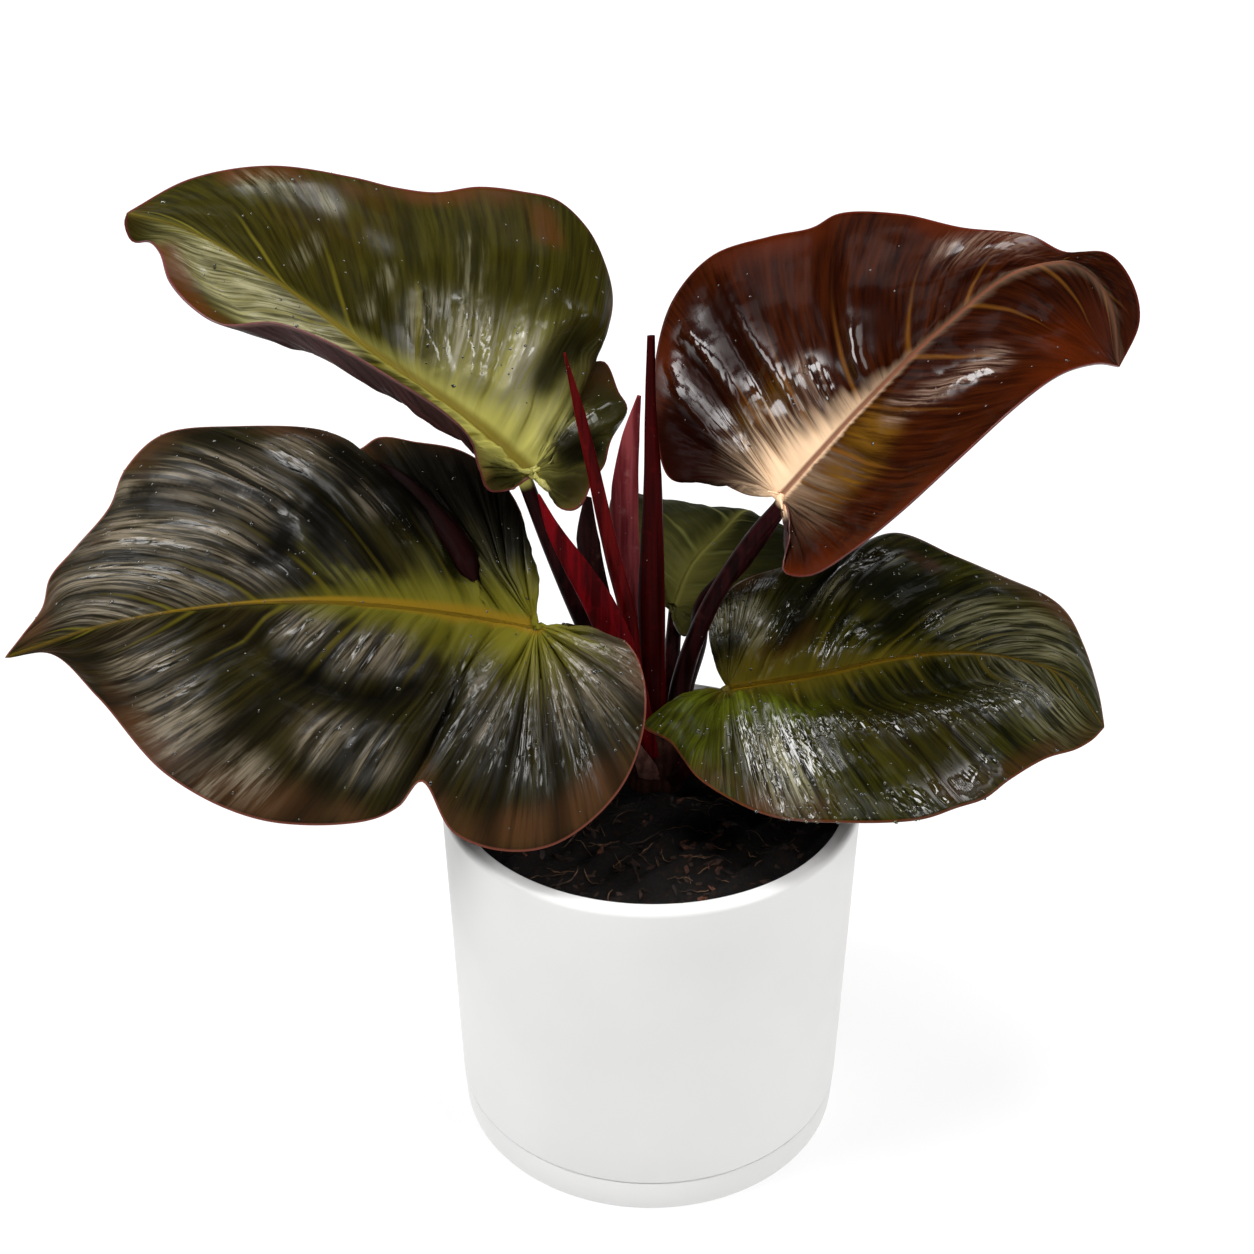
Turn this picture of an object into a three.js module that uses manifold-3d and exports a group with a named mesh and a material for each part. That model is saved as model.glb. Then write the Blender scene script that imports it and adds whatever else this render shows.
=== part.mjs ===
// A potted red heart philodendron: saucer, pot, soil, stem, six leaves and the red sheaths at the crown.
// Millimetres, +Z up. The origin is on the surface the saucer stands on, on the pot's axis.
// The side of the plant that is seen in its portrait faces -Y.
import * as THREE from 'three';
import { mergeVertices } from 'three/addons/utils/BufferGeometryUtils.js';
import Module from 'manifold-3d';

const wasm = await Module();
wasm.setup();

// Driving dimensions of the pot and its saucer
const POT_TOP_RADIUS = 82.5;
const POT_BASE_RADIUS = 79;
const POT_HEIGHT = 149.5;
const WALL = 6.2;
const RIM_ROUND = 2.4;
const INNER_ROUND = 0.9;
const SAUCER_HEIGHT = 14.6;
const SAUCER_FLOOR = 3;
const SAUCER_WALL = 3.7;
const SEAM = 0.6;
const FOOT_RADIUS = 75;
const FLOOR_THICKNESS = 6;
const DRAIN_RADIUS = 6;
const ROUND_SIDES = 36;
const GAP = 0.3;

// Driving dimensions of the soil and the stem
const SOIL_LEVEL = 142.5;
const SOIL_LUMP = 1.6;
const STEM_AXIS = [2, 10];
const STEM_TOP = 174;
const STEM_RADIUS = 11;
const STEM_DEPTH = 28;

// Driving dimensions of every blade
const BLADE_THICKNESS = 0.8;
const MIDRIB_DEPTH = 1.6;
const MARGIN_STEPS = 30;
const LOBE_STEPS = 12;
const ACROSS_STEPS = 5;
const UPWARD_PULL = 0.35;
const VEIN_SWEEP = 0.07;
const ROOT_POWER = 1.25;

const JOINT_REACH = 7;
const PETIOLE_SIDES = 8;
const SHEATH_SIDES = 8;

// Each leaf stands in a frame of its own at the joint of petiole and blade. Heading, pitch and roll are
// in degrees: heading turns from +X to +Y, pitch lifts the tip and roll lifts the left half. Outline
// points are [towards the tip, to the left, up] from the joint, right halves have negative lefts, and
// every margin runs from the notch at the joint round the basal lobe to the tip. Lobe is the share of a
// margin whose veins start at the joint, and bulge is how far a half swells, as a share of its width.
const LEAVES = {
  low_left: {
    joint: [-43, -8, 225],
    aim: [180, -2, -33],
    midrib: [[34, -4, 7], [76, -8, 10], [118, -9, 7], [162, -6, 0]],
    tip: [203, -1, -14],
    left: [[-20, 6, 3], [-34, 12, 6], [-40, 33, 2], [-31, 62, -6], [-8, 81, -12], [12, 83, -14],
      [30, 77, -10], [41, 60, -3], [50, 67, -9], [62, 70, -14], [102, 65, -22], [139, 45, -24],
      [168, 13, -22], [187, -4, -17]],
    right: [[3, -10, 4], [4, -23, 10], [4, -37, 16], [13, -56, 14], [28, -72, 10], [48, -82, 3],
      [63, -88, -2], [73, -85, -6], [83, -90, 0], [119, -92, 3], [147, -87, 6], [160, -72, 5],
      [166, -58, 0], [179, -43, -5], [188, -32, -8], [190, -20, -10], [197, -9, -12]],
    lobe: { left: 0.45, right: 0.34 },
    bulge: { left: 0.08, right: 0.1 },
    petiole: [[-6, 6, 158], [-17, 1, 177], [-34, -5, 205]],
    color: 0x2f331c,
  },
  high_left: {
    joint: [-45, 14, 277],
    aim: [180, 34, -46],
    midrib: [[28, -4, 3], [74, -6, 6], [113, -10, 5], [147, -11, 0]],
    tip: [167, -7, -6],
    left: [[3, 9, 4], [12, 18, 10], [22, 18, 24], [32, 16, 38], [46, 17, 48], [67, 19, 54],
      [89, 18, 50], [106, 17, 38], [121, 20, 19], [132, 17, 11], [143, 10, 3], [151, 0, -4], [156, -3, -8],
      [161, -1, -11], [166, -4, -8]],
    right: [[-8, 4, 5], [-13, 9, 8], [-18, 8, 9], [-21, 3, 8], [-21, -7, 6], [-23, -17, 3], [-22, -30, -1],
      [-22, -43, 0], [-17, -49, -4], [-8, -59, -9], [-3, -55, -9], [1, -50, -9], [-2, -61, -10],
      [-3, -72, -9], [1, -84, -8], [10, -94, -7], [22, -103, -8], [37, -106, -8], [51, -100, -7],
      [66, -91, -6], [79, -79, -6], [93, -72, -7], [107, -67, -8], [134, -54, -10], [155, -33, -10]],
    lobe: { left: 0.25, right: 0.4 },
    bulge: { left: -0.1, right: 0.08 },
    petiole: [[-5, 11, 166], [-14, 10, 188], [-25, 11, 213], [-37, 12, 245]],
    color: 0x4c5324,
  },
  high_right: {
    joint: [46, 2, 273],
    aim: [0, 36, 46],
    midrib: [[41, 11, 2], [81, 19, 4], [112, 23, 0], [130, 18, -13], [133, 6, -30]],
    tip: [124, -10, -50],
    left: [[-9, 6, 3], [-18, 18, 4], [-32, 28, 3], [-30, 51, -4], [-21, 73, -7], [-2, 95, -9],
      [20, 102, -10], [43, 95, -11], [58, 88, -11], [69, 86, -10], [88, 71, -9], [104, 52, -8], [122, 35, -8],
      [129, 24, -12], [141, 18, -20], [143, 8, -32], [138, -2, -43]],
    right: [[1, -7, 4], [-2, -19, 10], [-8, -31, 18], [1, -40, 25], [20, -43, 33], [40, -43, 40],
      [66, -39, 43], [89, -32, 36], [105, -23, 14], [117, -16, -16]],
    lobe: { left: 0.36, right: 0.33 },
    bulge: { left: 0.08, right: -0.1 },
    petiole: [[10, 8, 163], [11, 9, 187], [20, 7, 221], [36, 5, 253]],
    color: 0x54291a,
  },
  low_right: {
    joint: [29, 0, 193],
    aim: [-4, 6, 16],
    midrib: [[36, 1, 4], [61, 3, 8], [84, 6, 7], [106, 7, 2], [127, 6, -9]],
    tip: [142, -6, -26],
    left: [[-4, 10, 4], [-6, 27, 10], [4, 45, 12], [23, 56, 10], [44, 65, 6], [69, 79, 4],
      [92, 65, 2], [111, 56, -3], [127, 50, -9], [134, 44, -13], [139, 32, -19], [142, 11, -24]],
    right: [[-4, -4, 0], [-16, -8, 2], [-31, -22, 6], [-21, -30, 5], [-16, -38, 4], [-9, -49, 4],
      [15, -65, 2], [41, -68, 0], [68, -65, -4], [82, -57, -8], [92, -51, -11], [102, -41, -13],
      [117, -28, -17], [129, -20, -22], [136, -14, -24]],
    lobe: { left: 0.3, right: 0.36 },
    bulge: { left: 0.1, right: 0.12 },
    petiole: [[8, 4, 150], [17, 2, 161], [25, 1, 178]],
    color: 0x3d4a1f,
  },
  back: {
    joint: [9, 46, 204],
    aim: [66, 14, 4],
    midrib: [[23, 1, 4], [46, -4, 6], [64, -5, 2], [80, -5, -10], [94, -5, -30]],
    tip: [104, -4, -66],
    left: [[-3, 7, 3], [4, 20, 6], [24, 35, 6], [46, 48, 3], [64, 52, -3], [80, 48, -16],
      [92, 37, -34], [100, 20, -52]],
    right: [[-9, -4, 1], [-13, -10, -1], [-7, -14, 1], [2, -22, 3], [16, -37, 3], [40, -48, 0], [64, -48, -8],
      [82, -38, -24], [96, -20, -48]],
    lobe: { left: 0.26, right: 0.3 },
    bulge: { left: 0.06, right: 0.06 },
    petiole: [[5, 19, 160], [8, 31, 183]],
    color: 0x4a5636,
  },
  behind: {
    joint: [60, 46, 271],
    aim: [70, 22, 0],
    midrib: [[40, 0, 5], [80, 0, 3], [108, 0, -9]],
    tip: [126, 0, -28],
    left: [[-10, 5, 2], [-20, 14, 3], [-22, 32, 3], [-8, 46, 0], [20, 52, -3], [60, 47, -8],
      [94, 27, -15]],
    right: [[-10, -5, 2], [-18, -13, 3], [-18, -29, 3], [-4, -41, 0], [24, -46, -3], [62, -41, -8],
      [96, -23, -15]],
    lobe: { left: 0.4, right: 0.4 },
    bulge: { left: 0.07, right: 0.07 },
    petiole: [[8, 15, 163], [13, 22, 182], [18, 26, 198], [21, 33, 213], [35, 34, 230], [50, 38, 253]],
    color: 0x43301f,
  },
};
const PETIOLE_RADII = [4.6, 3.5, 2.9];

// Red spears and sheaths: a centre line from the crown up, half widths and half thicknesses from foot to
// tip, and the direction that the broad side faces.
const SHEATHS = {
  tall_spear: {
    line: [[2, 9, 171], [1, 8, 193], [0, 8, 225], [0, 8, 251], [0, 8, 278], [-1, 8, 305], [-1, 8, 332]],
    width: [4.6, 5.4, 5.9, 4.8, 3.6, 2.2, 1.5],
    depth: [3.6, 3.8, 3.6, 3.0, 2.4, 1.7, 0.9],
    facing: [0.25, -1, 0],
    color: 0x5a1118,
  },
  thin_spear: {
    line: [[-4, 4, 166], [-6, 3, 190], [-9, 2, 224], [-14, 2, 246], [-18, 1, 266], [-22, 0, 287],
      [-26, -2, 307], [-31, -4, 330]],
    width: [3.2, 3.6, 3.6, 3.3, 3.0, 2.6, 2.1, 0.4],
    depth: [2.4, 2.6, 2.4, 2.2, 2.0, 1.7, 1.3, 0.4],
    facing: [-0.2, -1, 0],
    color: 0x74121e,
  },
  crimson_sheath: {
    line: [[-2, -1, 163], [-7, -3, 193], [-13, -5, 216], [-20, -6, 234], [-28, -8, 250], [-36, -8, 265],
      [-41, -7, 278]],
    width: [5.0, 6.4, 6.8, 6.2, 4.8, 2.8, 0.5],
    depth: [2.0, 1.8, 1.5, 1.3, 1.1, 0.9, 0.4],
    facing: [-0.15, -1, 0.35],
    color: 0x9a1226,
  },
  velvet_sheath: {
    line: [[-1, 16, 169], [-4, 17, 192], [-8, 18, 222], [-10, 20, 247], [-10, 21, 268], [-8, 21, 288],
      [-5, 20, 305]],
    width: [3.4, 4.4, 5.2, 6.0, 5.6, 3.6, 0.8],
    depth: [2.0, 2.0, 1.8, 1.6, 1.4, 1.1, 0.5],
    facing: [-0.3, -1, 0],
    color: 0x8b3a45,
  },
  old_sheath: {
    line: [[-4, 17, 166], [-13, 19, 194], [-20, 19, 223], [-24, 19, 247], [-24, 17, 266]],
    width: [3.6, 4.6, 5.4, 5.2, 1.6],
    depth: [1.4, 1.3, 1.2, 1.1, 0.6],
    facing: [-0.4, -1, 0],
    color: 0x3a1a1a,
  },
  bract: {
    line: [[0, 2, 150], [-2, -2, 160], [-5, -6, 172]],
    width: [5.0, 4.6, 0.7],
    depth: [1.4, 1.3, 0.4],
    facing: [-0.3, -1, 0.2],
    color: 0x8a5a52,
  },
};

const plant = new THREE.Group();

const finish = (color, roughness) => new THREE.MeshStandardMaterial({ color, roughness, metalness: 0 });

function add(name, geometry, material) {
  const mesh = new THREE.Mesh(geometry, material);
  mesh.name = name;
  plant.add(mesh);
}

// A closed body keeps only positions, with shared vertices merged and flat triangles dropped.
function closed(geometry) {
  const bare = new THREE.BufferGeometry();
  bare.setAttribute('position', geometry.getAttribute('position').clone());
  const count = bare.getAttribute('position').count;
  bare.setIndex(geometry.index ? [...geometry.index.array] : [...Array(count).keys()]);
  const merged = mergeVertices(bare, 1e-3);
  const corners = merged.index.array;
  const kept = [];
  for (let i = 0; i < corners.length; i += 3) {
    const [a, b, c] = corners.slice(i, i + 3);
    if (a !== b && b !== c && c !== a) kept.push(a, b, c);
  }
  merged.setIndex(kept);
  return merged;
}

function solid(geometry) {
  const body = closed(geometry);
  return new wasm.Manifold(new wasm.Mesh({
    numProp: 3,
    vertProperties: new Float32Array(body.getAttribute('position').array),
    triVerts: new Uint32Array(body.index.array),
  }));
}

function geometryOf(body) {
  const mesh = body.getMesh();
  const geometry = new THREE.BufferGeometry();
  geometry.setAttribute('position', new THREE.BufferAttribute(new Float32Array(mesh.vertProperties), 3));
  geometry.setIndex([...mesh.triVerts]);
  return geometry;
}

// What is left of a piece once its neighbours, grown by the gap, are cut away: its largest body.
function carve(geometry, neighbours) {
  let body = solid(geometry);
  for (const neighbour of neighbours) body = body.subtract(neighbour);
  const parts = body.decompose();
  parts.sort((a, b) => b.volume() - a.volume());
  return geometryOf(parts[0]);
}

// The room that a blade takes up round its joint: the convex block about what lies within reach of the
// joint, with copies moved each way by the gap.
function jointRoom(sheet, joint) {
  const reach = wasm.Manifold.sphere(JOINT_REACH, 12).translate(joint);
  const moves = [[1, 0, 0], [-1, 0, 0], [0, 1, 0], [0, -1, 0], [0, 0, 1], [0, 0, -1]];
  const copies = moves.map((move) => sheet.translate(move.map((step) => step * GAP * 1.2)));
  return wasm.Manifold.union(copies).intersect(reach).hull();
}

const vectors = (points) => points.map((p) => new THREE.Vector3(...p));
const through = (points) => new THREE.CatmullRomCurve3(vectors(points), false, 'centripetal');

function valueAlong(values, u) {
  const place = u * (values.length - 1);
  const i = Math.min(Math.floor(place), values.length - 2);
  return THREE.MathUtils.lerp(values[i], values[i + 1], place - i);
}

// A closed cylinder bent along a curve, with its own half width and half depth at each point.
function bentCylinder(curve, { sides, steps, width, depth, facing, grow = 0 }) {
  const geometry = new THREE.CylinderGeometry(1, 1, 1, sides, steps);
  const place = geometry.getAttribute('position');
  const front = new THREE.Vector3(...facing);
  for (let i = 0; i < place.count; i += 1) {
    const u = place.getY(i) + 0.5;
    const centre = curve.getPoint(u);
    const along = curve.getTangent(u);
    const out = front.clone().addScaledVector(along, -front.dot(along)).normalize();
    const side = new THREE.Vector3().crossVectors(out, along);
    if (u < 0.001) centre.addScaledVector(along, -grow);
    if (u > 0.999) centre.addScaledVector(along, grow);
    centre.addScaledVector(side, place.getX(i) * (valueAlong(width, u) + grow));
    centre.addScaledVector(out, -place.getZ(i) * (valueAlong(depth, u) + grow));
    place.setXYZ(i, centre.x, centre.y, centre.z);
  }
  return closed(geometry);
}

// The frame of a leaf: towards the tip, to the left and up.
function leafAxes([heading, pitch, roll]) {
  const [h, p, r] = [heading, pitch, roll].map(THREE.MathUtils.degToRad);
  const tip = new THREE.Vector3(Math.cos(h) * Math.cos(p), Math.sin(h) * Math.cos(p), Math.sin(p));
  const level = new THREE.Vector3(-Math.sin(h), Math.cos(h), 0);
  const left = level.applyAxisAngle(tip, r);
  const up = new THREE.Vector3().crossVectors(tip, left);
  return new THREE.Matrix4().makeBasis(tip, left, up);
}

// A point of a half blade. Station i counts along the margin from notch to tip, and its vein leaves the
// joint up to LOBE_STEPS and the midrib after that. Share t runs along the vein out to the margin.
function bladePoint(leaf, curves, side, i, t) {
  const past = Math.max(0, (i - LOBE_STEPS) / (MARGIN_STEPS - LOBE_STEPS));
  const lobe = leaf.lobe[side];
  const s = i < LOBE_STEPS ? (lobe * i) / LOBE_STEPS : lobe + (1 - lobe) * past;
  const root = curves.midrib.getPointAt(past ** ROOT_POWER);
  const edge = curves[side].getPointAt(s);
  const vein = edge.clone().sub(root);
  const length = vein.length();
  const along = curves[side].getTangentAt(s);
  const normal = new THREE.Vector3().crossVectors(along, vein.divideScalar(length));
  normal.multiplyScalar(side === 'left' ? 1 : -1);
  normal.z += UPWARD_PULL;
  normal.normalize();
  const bend = root.clone().add(edge).multiplyScalar(0.5);
  bend.addScaledVector(normal, 2 * leaf.bulge[side] * length);
  bend.x -= 2 * VEIN_SWEEP * length * Math.min(1, past * 4);
  return root.multiplyScalar((1 - t) ** 2).addScaledVector(bend, 2 * t * (1 - t)).addScaledVector(edge, t * t);
}

// A blade: a grid of vein points for each half, joined along the midrib, and thickened on both faces.
function blade(leaf, thickness) {
  const curves = {
    midrib: through([[0, 0, 0], ...leaf.midrib, leaf.tip]),
    left: through([[0, 0, 0], ...leaf.left, leaf.tip]),
    right: through([[0, 0, 0], ...leaf.right, leaf.tip]),
  };
  const points = [];
  const ribs = [];
  const known = new Map();
  const corner = (side, i, j) => {
    const past = Math.max(0, (i - LOBE_STEPS) / (MARGIN_STEPS - LOBE_STEPS));
    let name = `${side} ${i} ${j}`;
    if (j === 0) name = `midrib ${i}`;
    if (i === MARGIN_STEPS) name = 'tip';
    if (i === 0 || (j === 0 && past === 0)) name = 'joint';
    if (!known.has(name)) {
      known.set(name, points.length);
      ribs.push(j === 0 || name === 'joint' ? MIDRIB_DEPTH * (1 - past) : 0);
      if (name === 'joint') points.push(new THREE.Vector3());
      else if (name === 'tip') points.push(new THREE.Vector3(...leaf.tip));
      else points.push(bladePoint(leaf, curves, side, i, j / ACROSS_STEPS));
    }
    return known.get(name);
  };
  const triangles = [];
  const rim = [];
  const face = (side, a, b, c) => {
    if (a !== b && b !== c && c !== a) triangles.push(...(side === 'left' ? [a, b, c] : [a, c, b]));
  };
  for (const side of ['left', 'right']) {
    for (let i = 0; i < MARGIN_STEPS; i += 1) {
      for (let j = 0; j < ACROSS_STEPS; j += 1) {
        const [a, b] = [corner(side, i, j), corner(side, i + 1, j)];
        const [c, d] = [corner(side, i + 1, j + 1), corner(side, i, j + 1)];
        face(side, a, b, c);
        face(side, a, c, d);
      }
      const edge = [corner(side, i, ACROSS_STEPS), corner(side, i + 1, ACROSS_STEPS)];
      rim.push(side === 'left' ? edge : edge.reverse());
    }
  }
  const body = thicken(points, triangles, rim, ribs, thickness);
  body.applyMatrix4(leafAxes(leaf.aim));
  return body.translate(...leaf.joint);
}

// Both faces of a blade share the sheet's triangles, and the midrib stands out below.
function thicken(points, triangles, rim, ribs, thickness) {
  const sheet = new THREE.BufferGeometry().setFromPoints(points);
  sheet.setIndex(triangles);
  sheet.computeVertexNormals();
  const normals = sheet.getAttribute('normal');
  const normal = (i) => new THREE.Vector3().fromBufferAttribute(normals, i);
  const above = points.map((point, i) => point.clone().addScaledVector(normal(i), thickness / 2));
  const below = points.map((point, i) => point.clone().addScaledVector(normal(i), -thickness / 2 - ribs[i]));
  const count = points.length;
  const faces = [...triangles];
  for (let i = 0; i < triangles.length; i += 3) {
    const [a, b, c] = triangles.slice(i, i + 3);
    faces.push(a + count, c + count, b + count);
  }
  for (const [a, b] of rim) faces.push(a, b, b + count, a, b + count, a + count);
  const body = new THREE.BufferGeometry().setFromPoints([...above, ...below]);
  body.setIndex(faces);
  return body;
}

// The pot's walls: its outer radius grows evenly from base to rim, and the inner one follows it.
const outerRadius = (z) => THREE.MathUtils.lerp(POT_BASE_RADIUS, POT_TOP_RADIUS, z / POT_HEIGHT);
const innerRadius = (z) => outerRadius(z) - WALL;

// A quarter round from one direction to another, as profile points.
function quarter(x, z, radius, from, steps) {
  const points = [];
  for (let i = 0; i <= steps; i += 1) {
    const angle = THREE.MathUtils.degToRad(from + (90 * i) / steps);
    points.push([x + radius * Math.cos(angle), z + radius * Math.sin(angle)]);
  }
  return points;
}

// A turned body about the Z axis.
function turned(profile, sides = ROUND_SIDES) {
  const lathe = new THREE.LatheGeometry(profile.map(([r, z]) => new THREE.Vector2(r, z)), sides);
  return closed(lathe.rotateX(Math.PI / 2));
}

function saucer() {
  const inner = outerRadius(SAUCER_HEIGHT) - SAUCER_WALL;
  return turned([
    [0, 0],
    [POT_BASE_RADIUS - 2.4, 0],
    [POT_BASE_RADIUS - 0.8, 0.8],
    [outerRadius(3), 3],
    [outerRadius(SAUCER_HEIGHT) - 0.4, SAUCER_HEIGHT - 0.4],
    [outerRadius(SAUCER_HEIGHT) - 1, SAUCER_HEIGHT],
    [inner, SAUCER_HEIGHT],
    [inner, SAUCER_FLOOR + 1],
    [inner - 1, SAUCER_FLOOR],
    [0, SAUCER_FLOOR],
  ]);
}

function pot() {
  const foot = SAUCER_FLOOR + GAP;
  const floor = foot + FLOOR_THICKNESS;
  const shoulder = SAUCER_HEIGHT + SEAM;
  const top = POT_HEIGHT;
  const outer = outerRadius(top) - RIM_ROUND;
  const inner = innerRadius(top) + INNER_ROUND;
  return turned([
    [DRAIN_RADIUS, foot],
    [FOOT_RADIUS - 1, foot],
    [FOOT_RADIUS, foot + 1],
    [FOOT_RADIUS, shoulder],
    [outerRadius(shoulder) - 0.6, shoulder],
    [outerRadius(shoulder), shoulder + 0.6],
    ...quarter(outer, top - RIM_ROUND, RIM_ROUND, 0, 3),
    ...quarter(inner, top - INNER_ROUND, INNER_ROUND, 90, 2),
    [innerRadius(20), 20],
    [71, floor + 2.5],
    [68.5, floor],
    [DRAIN_RADIUS, floor],
    [DRAIN_RADIUS, foot],
  ]);
}

// The soil fills the pot, with a lumpy top and a plain hole for the stem.
function soil(stemHole) {
  const floor = SAUCER_FLOOR + GAP + FLOOR_THICKNESS + GAP;
  const slack = 0.6;
  const side = innerRadius(SOIL_LEVEL) - slack;
  const rings = [1, 0.88, 0.7, 0.5, 0.3];
  const body = turned([
    [0, floor],
    [67.8, floor],
    [70.2, floor + 2.6],
    [innerRadius(20) - slack, 20.5],
    ...rings.map((share) => [side * share, SOIL_LEVEL]),
    [0, SOIL_LEVEL],
  ]);
  const place = body.getAttribute('position');
  for (let i = 0; i < place.count; i += 1) {
    if (place.getZ(i) > SOIL_LEVEL - 0.01) {
      const [x, y] = [place.getX(i), place.getY(i)];
      const lumps = Math.sin(x * 0.19 + 1.3) * Math.cos(y * 0.23) + 0.6 * Math.sin(x * 0.41 - y * 0.37);
      const dome = 2.5 * (1 - (x * x + y * y) / (side * side));
      place.setZ(i, SOIL_LEVEL + dome + SOIL_LUMP * lumps);
    }
  }
  return carve(body, [stemHole]);
}

// The short stem stands in the soil and ends in a low dome.
function stem(grow) {
  const foot = SOIL_LEVEL - STEM_DEPTH;
  const body = turned([
    [0, foot - grow],
    [STEM_RADIUS - 3 + grow, foot - grow],
    [STEM_RADIUS + grow, foot + 3],
    [STEM_RADIUS + 1 + grow, SOIL_LEVEL],
    [STEM_RADIUS + 0.4 + grow, SOIL_LEVEL + 8],
    [STEM_RADIUS + grow, STEM_TOP - 9],
    [STEM_RADIUS - 2 + grow, STEM_TOP - 4],
    [STEM_RADIUS - 6 + grow, STEM_TOP - 1 + grow],
    [0, STEM_TOP + grow],
  ], 18);
  return body.translate(...STEM_AXIS, 0);
}

function petiole(leaf, grow) {
  const line = through([...leaf.petiole, leaf.joint]);
  return bentCylinder(line, {
    sides: PETIOLE_SIDES,
    steps: 9,
    width: PETIOLE_RADII,
    depth: PETIOLE_RADII,
    facing: [0, -1, 0.1],
    grow,
  });
}

function sheath(shape, grow) {
  return bentCylinder(through(shape.line), { sides: SHEATH_SIDES, steps: 10, ...shape, grow });
}

const white = finish(0xe9e9e8, 0.45);
add('saucer', saucer(), white);
add('pot', pot(), white);

// Whatever meets the stem, a blade or an earlier piece of the crown is cut back from it by the gap.
const crown = [solid(stem(GAP))];
add('soil', soil(solid(stem(GAP))), finish(0x1d130d, 0.95));
add('stem', stem(0), finish(0x4a2a22, 0.6));

for (const [name, shape] of Object.entries(SHEATHS)) {
  add(name, carve(sheath(shape, 0), crown), finish(shape.color, 0.45));
  crown.push(solid(sheath(shape, GAP)));
}
for (const [name, leaf] of Object.entries(LEAVES)) {
  const sheet = blade(leaf, BLADE_THICKNESS);
  const neighbours = [...crown, jointRoom(solid(sheet), leaf.joint)];
  add(`petiole_${name}`, carve(petiole(leaf, 0), neighbours), finish(0x3a1719, 0.45));
  add(`blade_${name}`, sheet, finish(leaf.color, 0.3));
  crown.push(solid(petiole(leaf, GAP)));
}

export default plant;
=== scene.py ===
"""The looks of a potted red heart philodendron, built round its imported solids.

Sizes are in millimetres, in the part's frame: +Z up, and the portrait side faces -Y. The blades have the
same outlines and the same vein surface as the part's source, in finer steps.
"""

import math

import bpy
import numpy as np
from mathutils import Euler, Matrix, Vector


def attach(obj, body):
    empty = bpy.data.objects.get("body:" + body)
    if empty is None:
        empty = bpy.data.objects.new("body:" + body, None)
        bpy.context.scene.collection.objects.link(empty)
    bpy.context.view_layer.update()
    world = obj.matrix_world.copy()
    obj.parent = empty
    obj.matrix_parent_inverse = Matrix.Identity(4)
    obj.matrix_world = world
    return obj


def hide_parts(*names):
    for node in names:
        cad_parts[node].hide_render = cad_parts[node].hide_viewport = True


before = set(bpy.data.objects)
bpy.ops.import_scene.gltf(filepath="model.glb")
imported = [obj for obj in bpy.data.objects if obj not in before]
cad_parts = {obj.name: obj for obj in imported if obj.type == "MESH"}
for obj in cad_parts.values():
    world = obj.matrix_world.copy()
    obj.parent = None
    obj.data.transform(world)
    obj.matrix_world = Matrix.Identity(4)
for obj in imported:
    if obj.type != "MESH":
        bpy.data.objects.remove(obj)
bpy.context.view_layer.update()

MM = 0.001
FULL_TURN = 2 * math.pi
SIDES = ("left", "right")

# The pot and its saucer
POT_TOP_RADIUS = 82.5
POT_BASE_RADIUS = 79.0
POT_HEIGHT = 149.5
WALL = 6.2
RIM_ROUND = 2.4
INNER_ROUND = 0.9
SAUCER_HEIGHT = 14.6
SAUCER_FLOOR = 3.0
SAUCER_WALL = 3.7
SAUCER_FOOT_INSET = 2.4
SAUCER_FOOT_ROUND = 1.8
SAUCER_RIM_INSET = 0.7
SAUCER_RIM_ROUND = 0.55
SEAM = 0.6
SEAM_ROUND = 0.5
FOOT_RADIUS = 75.0
FLOOR_THICKNESS = 6.0
FLOOR_ROUND = 2.5
FLOOR_RADIUS = 68.5
DRAIN_RADIUS = 6.0
GAP = 0.3

# The soil and the stem
SOIL_LEVEL = 142.5
SOIL_DOME = 2.5
SOIL_LUMP = 1.6
SOIL_CRUMB = 0.5
SOIL_GRAIN = 0.25
SOIL_CLEARANCE = 0.6
STEM_AXIS = (2.0, 10.0)
STEM_RADIUS = 11.0
STEM_DEPTH = 8.0

# Every blade. Stations run from the notch at the joint round the basal lobe to the tip. There are
# MARGIN_STEPS of them, of which LOBE_STEPS in the lobe, where the veins start at the joint. Shares run from
# the midrib to the margin.
MARGIN_STEPS = 24
LOBE_STEPS = 9
UPWARD_PULL = 0.35
VEIN_SWEEP = 0.07
ROOT_POWER = 1.25
FINE_ALONG = 216
FINE_ACROSS = 44
STATIONS = np.linspace(0, MARGIN_STEPS, FINE_ALONG + 1)
SHARES = np.linspace(0, 1, FINE_ACROSS + 1)
BLADE_HALF = 0.32
MIDRIB_DEPTH = 1.5
MIDRIB_WIDTHS = (0.9, 3.5)
CURVE_SAMPLES = 400

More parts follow.
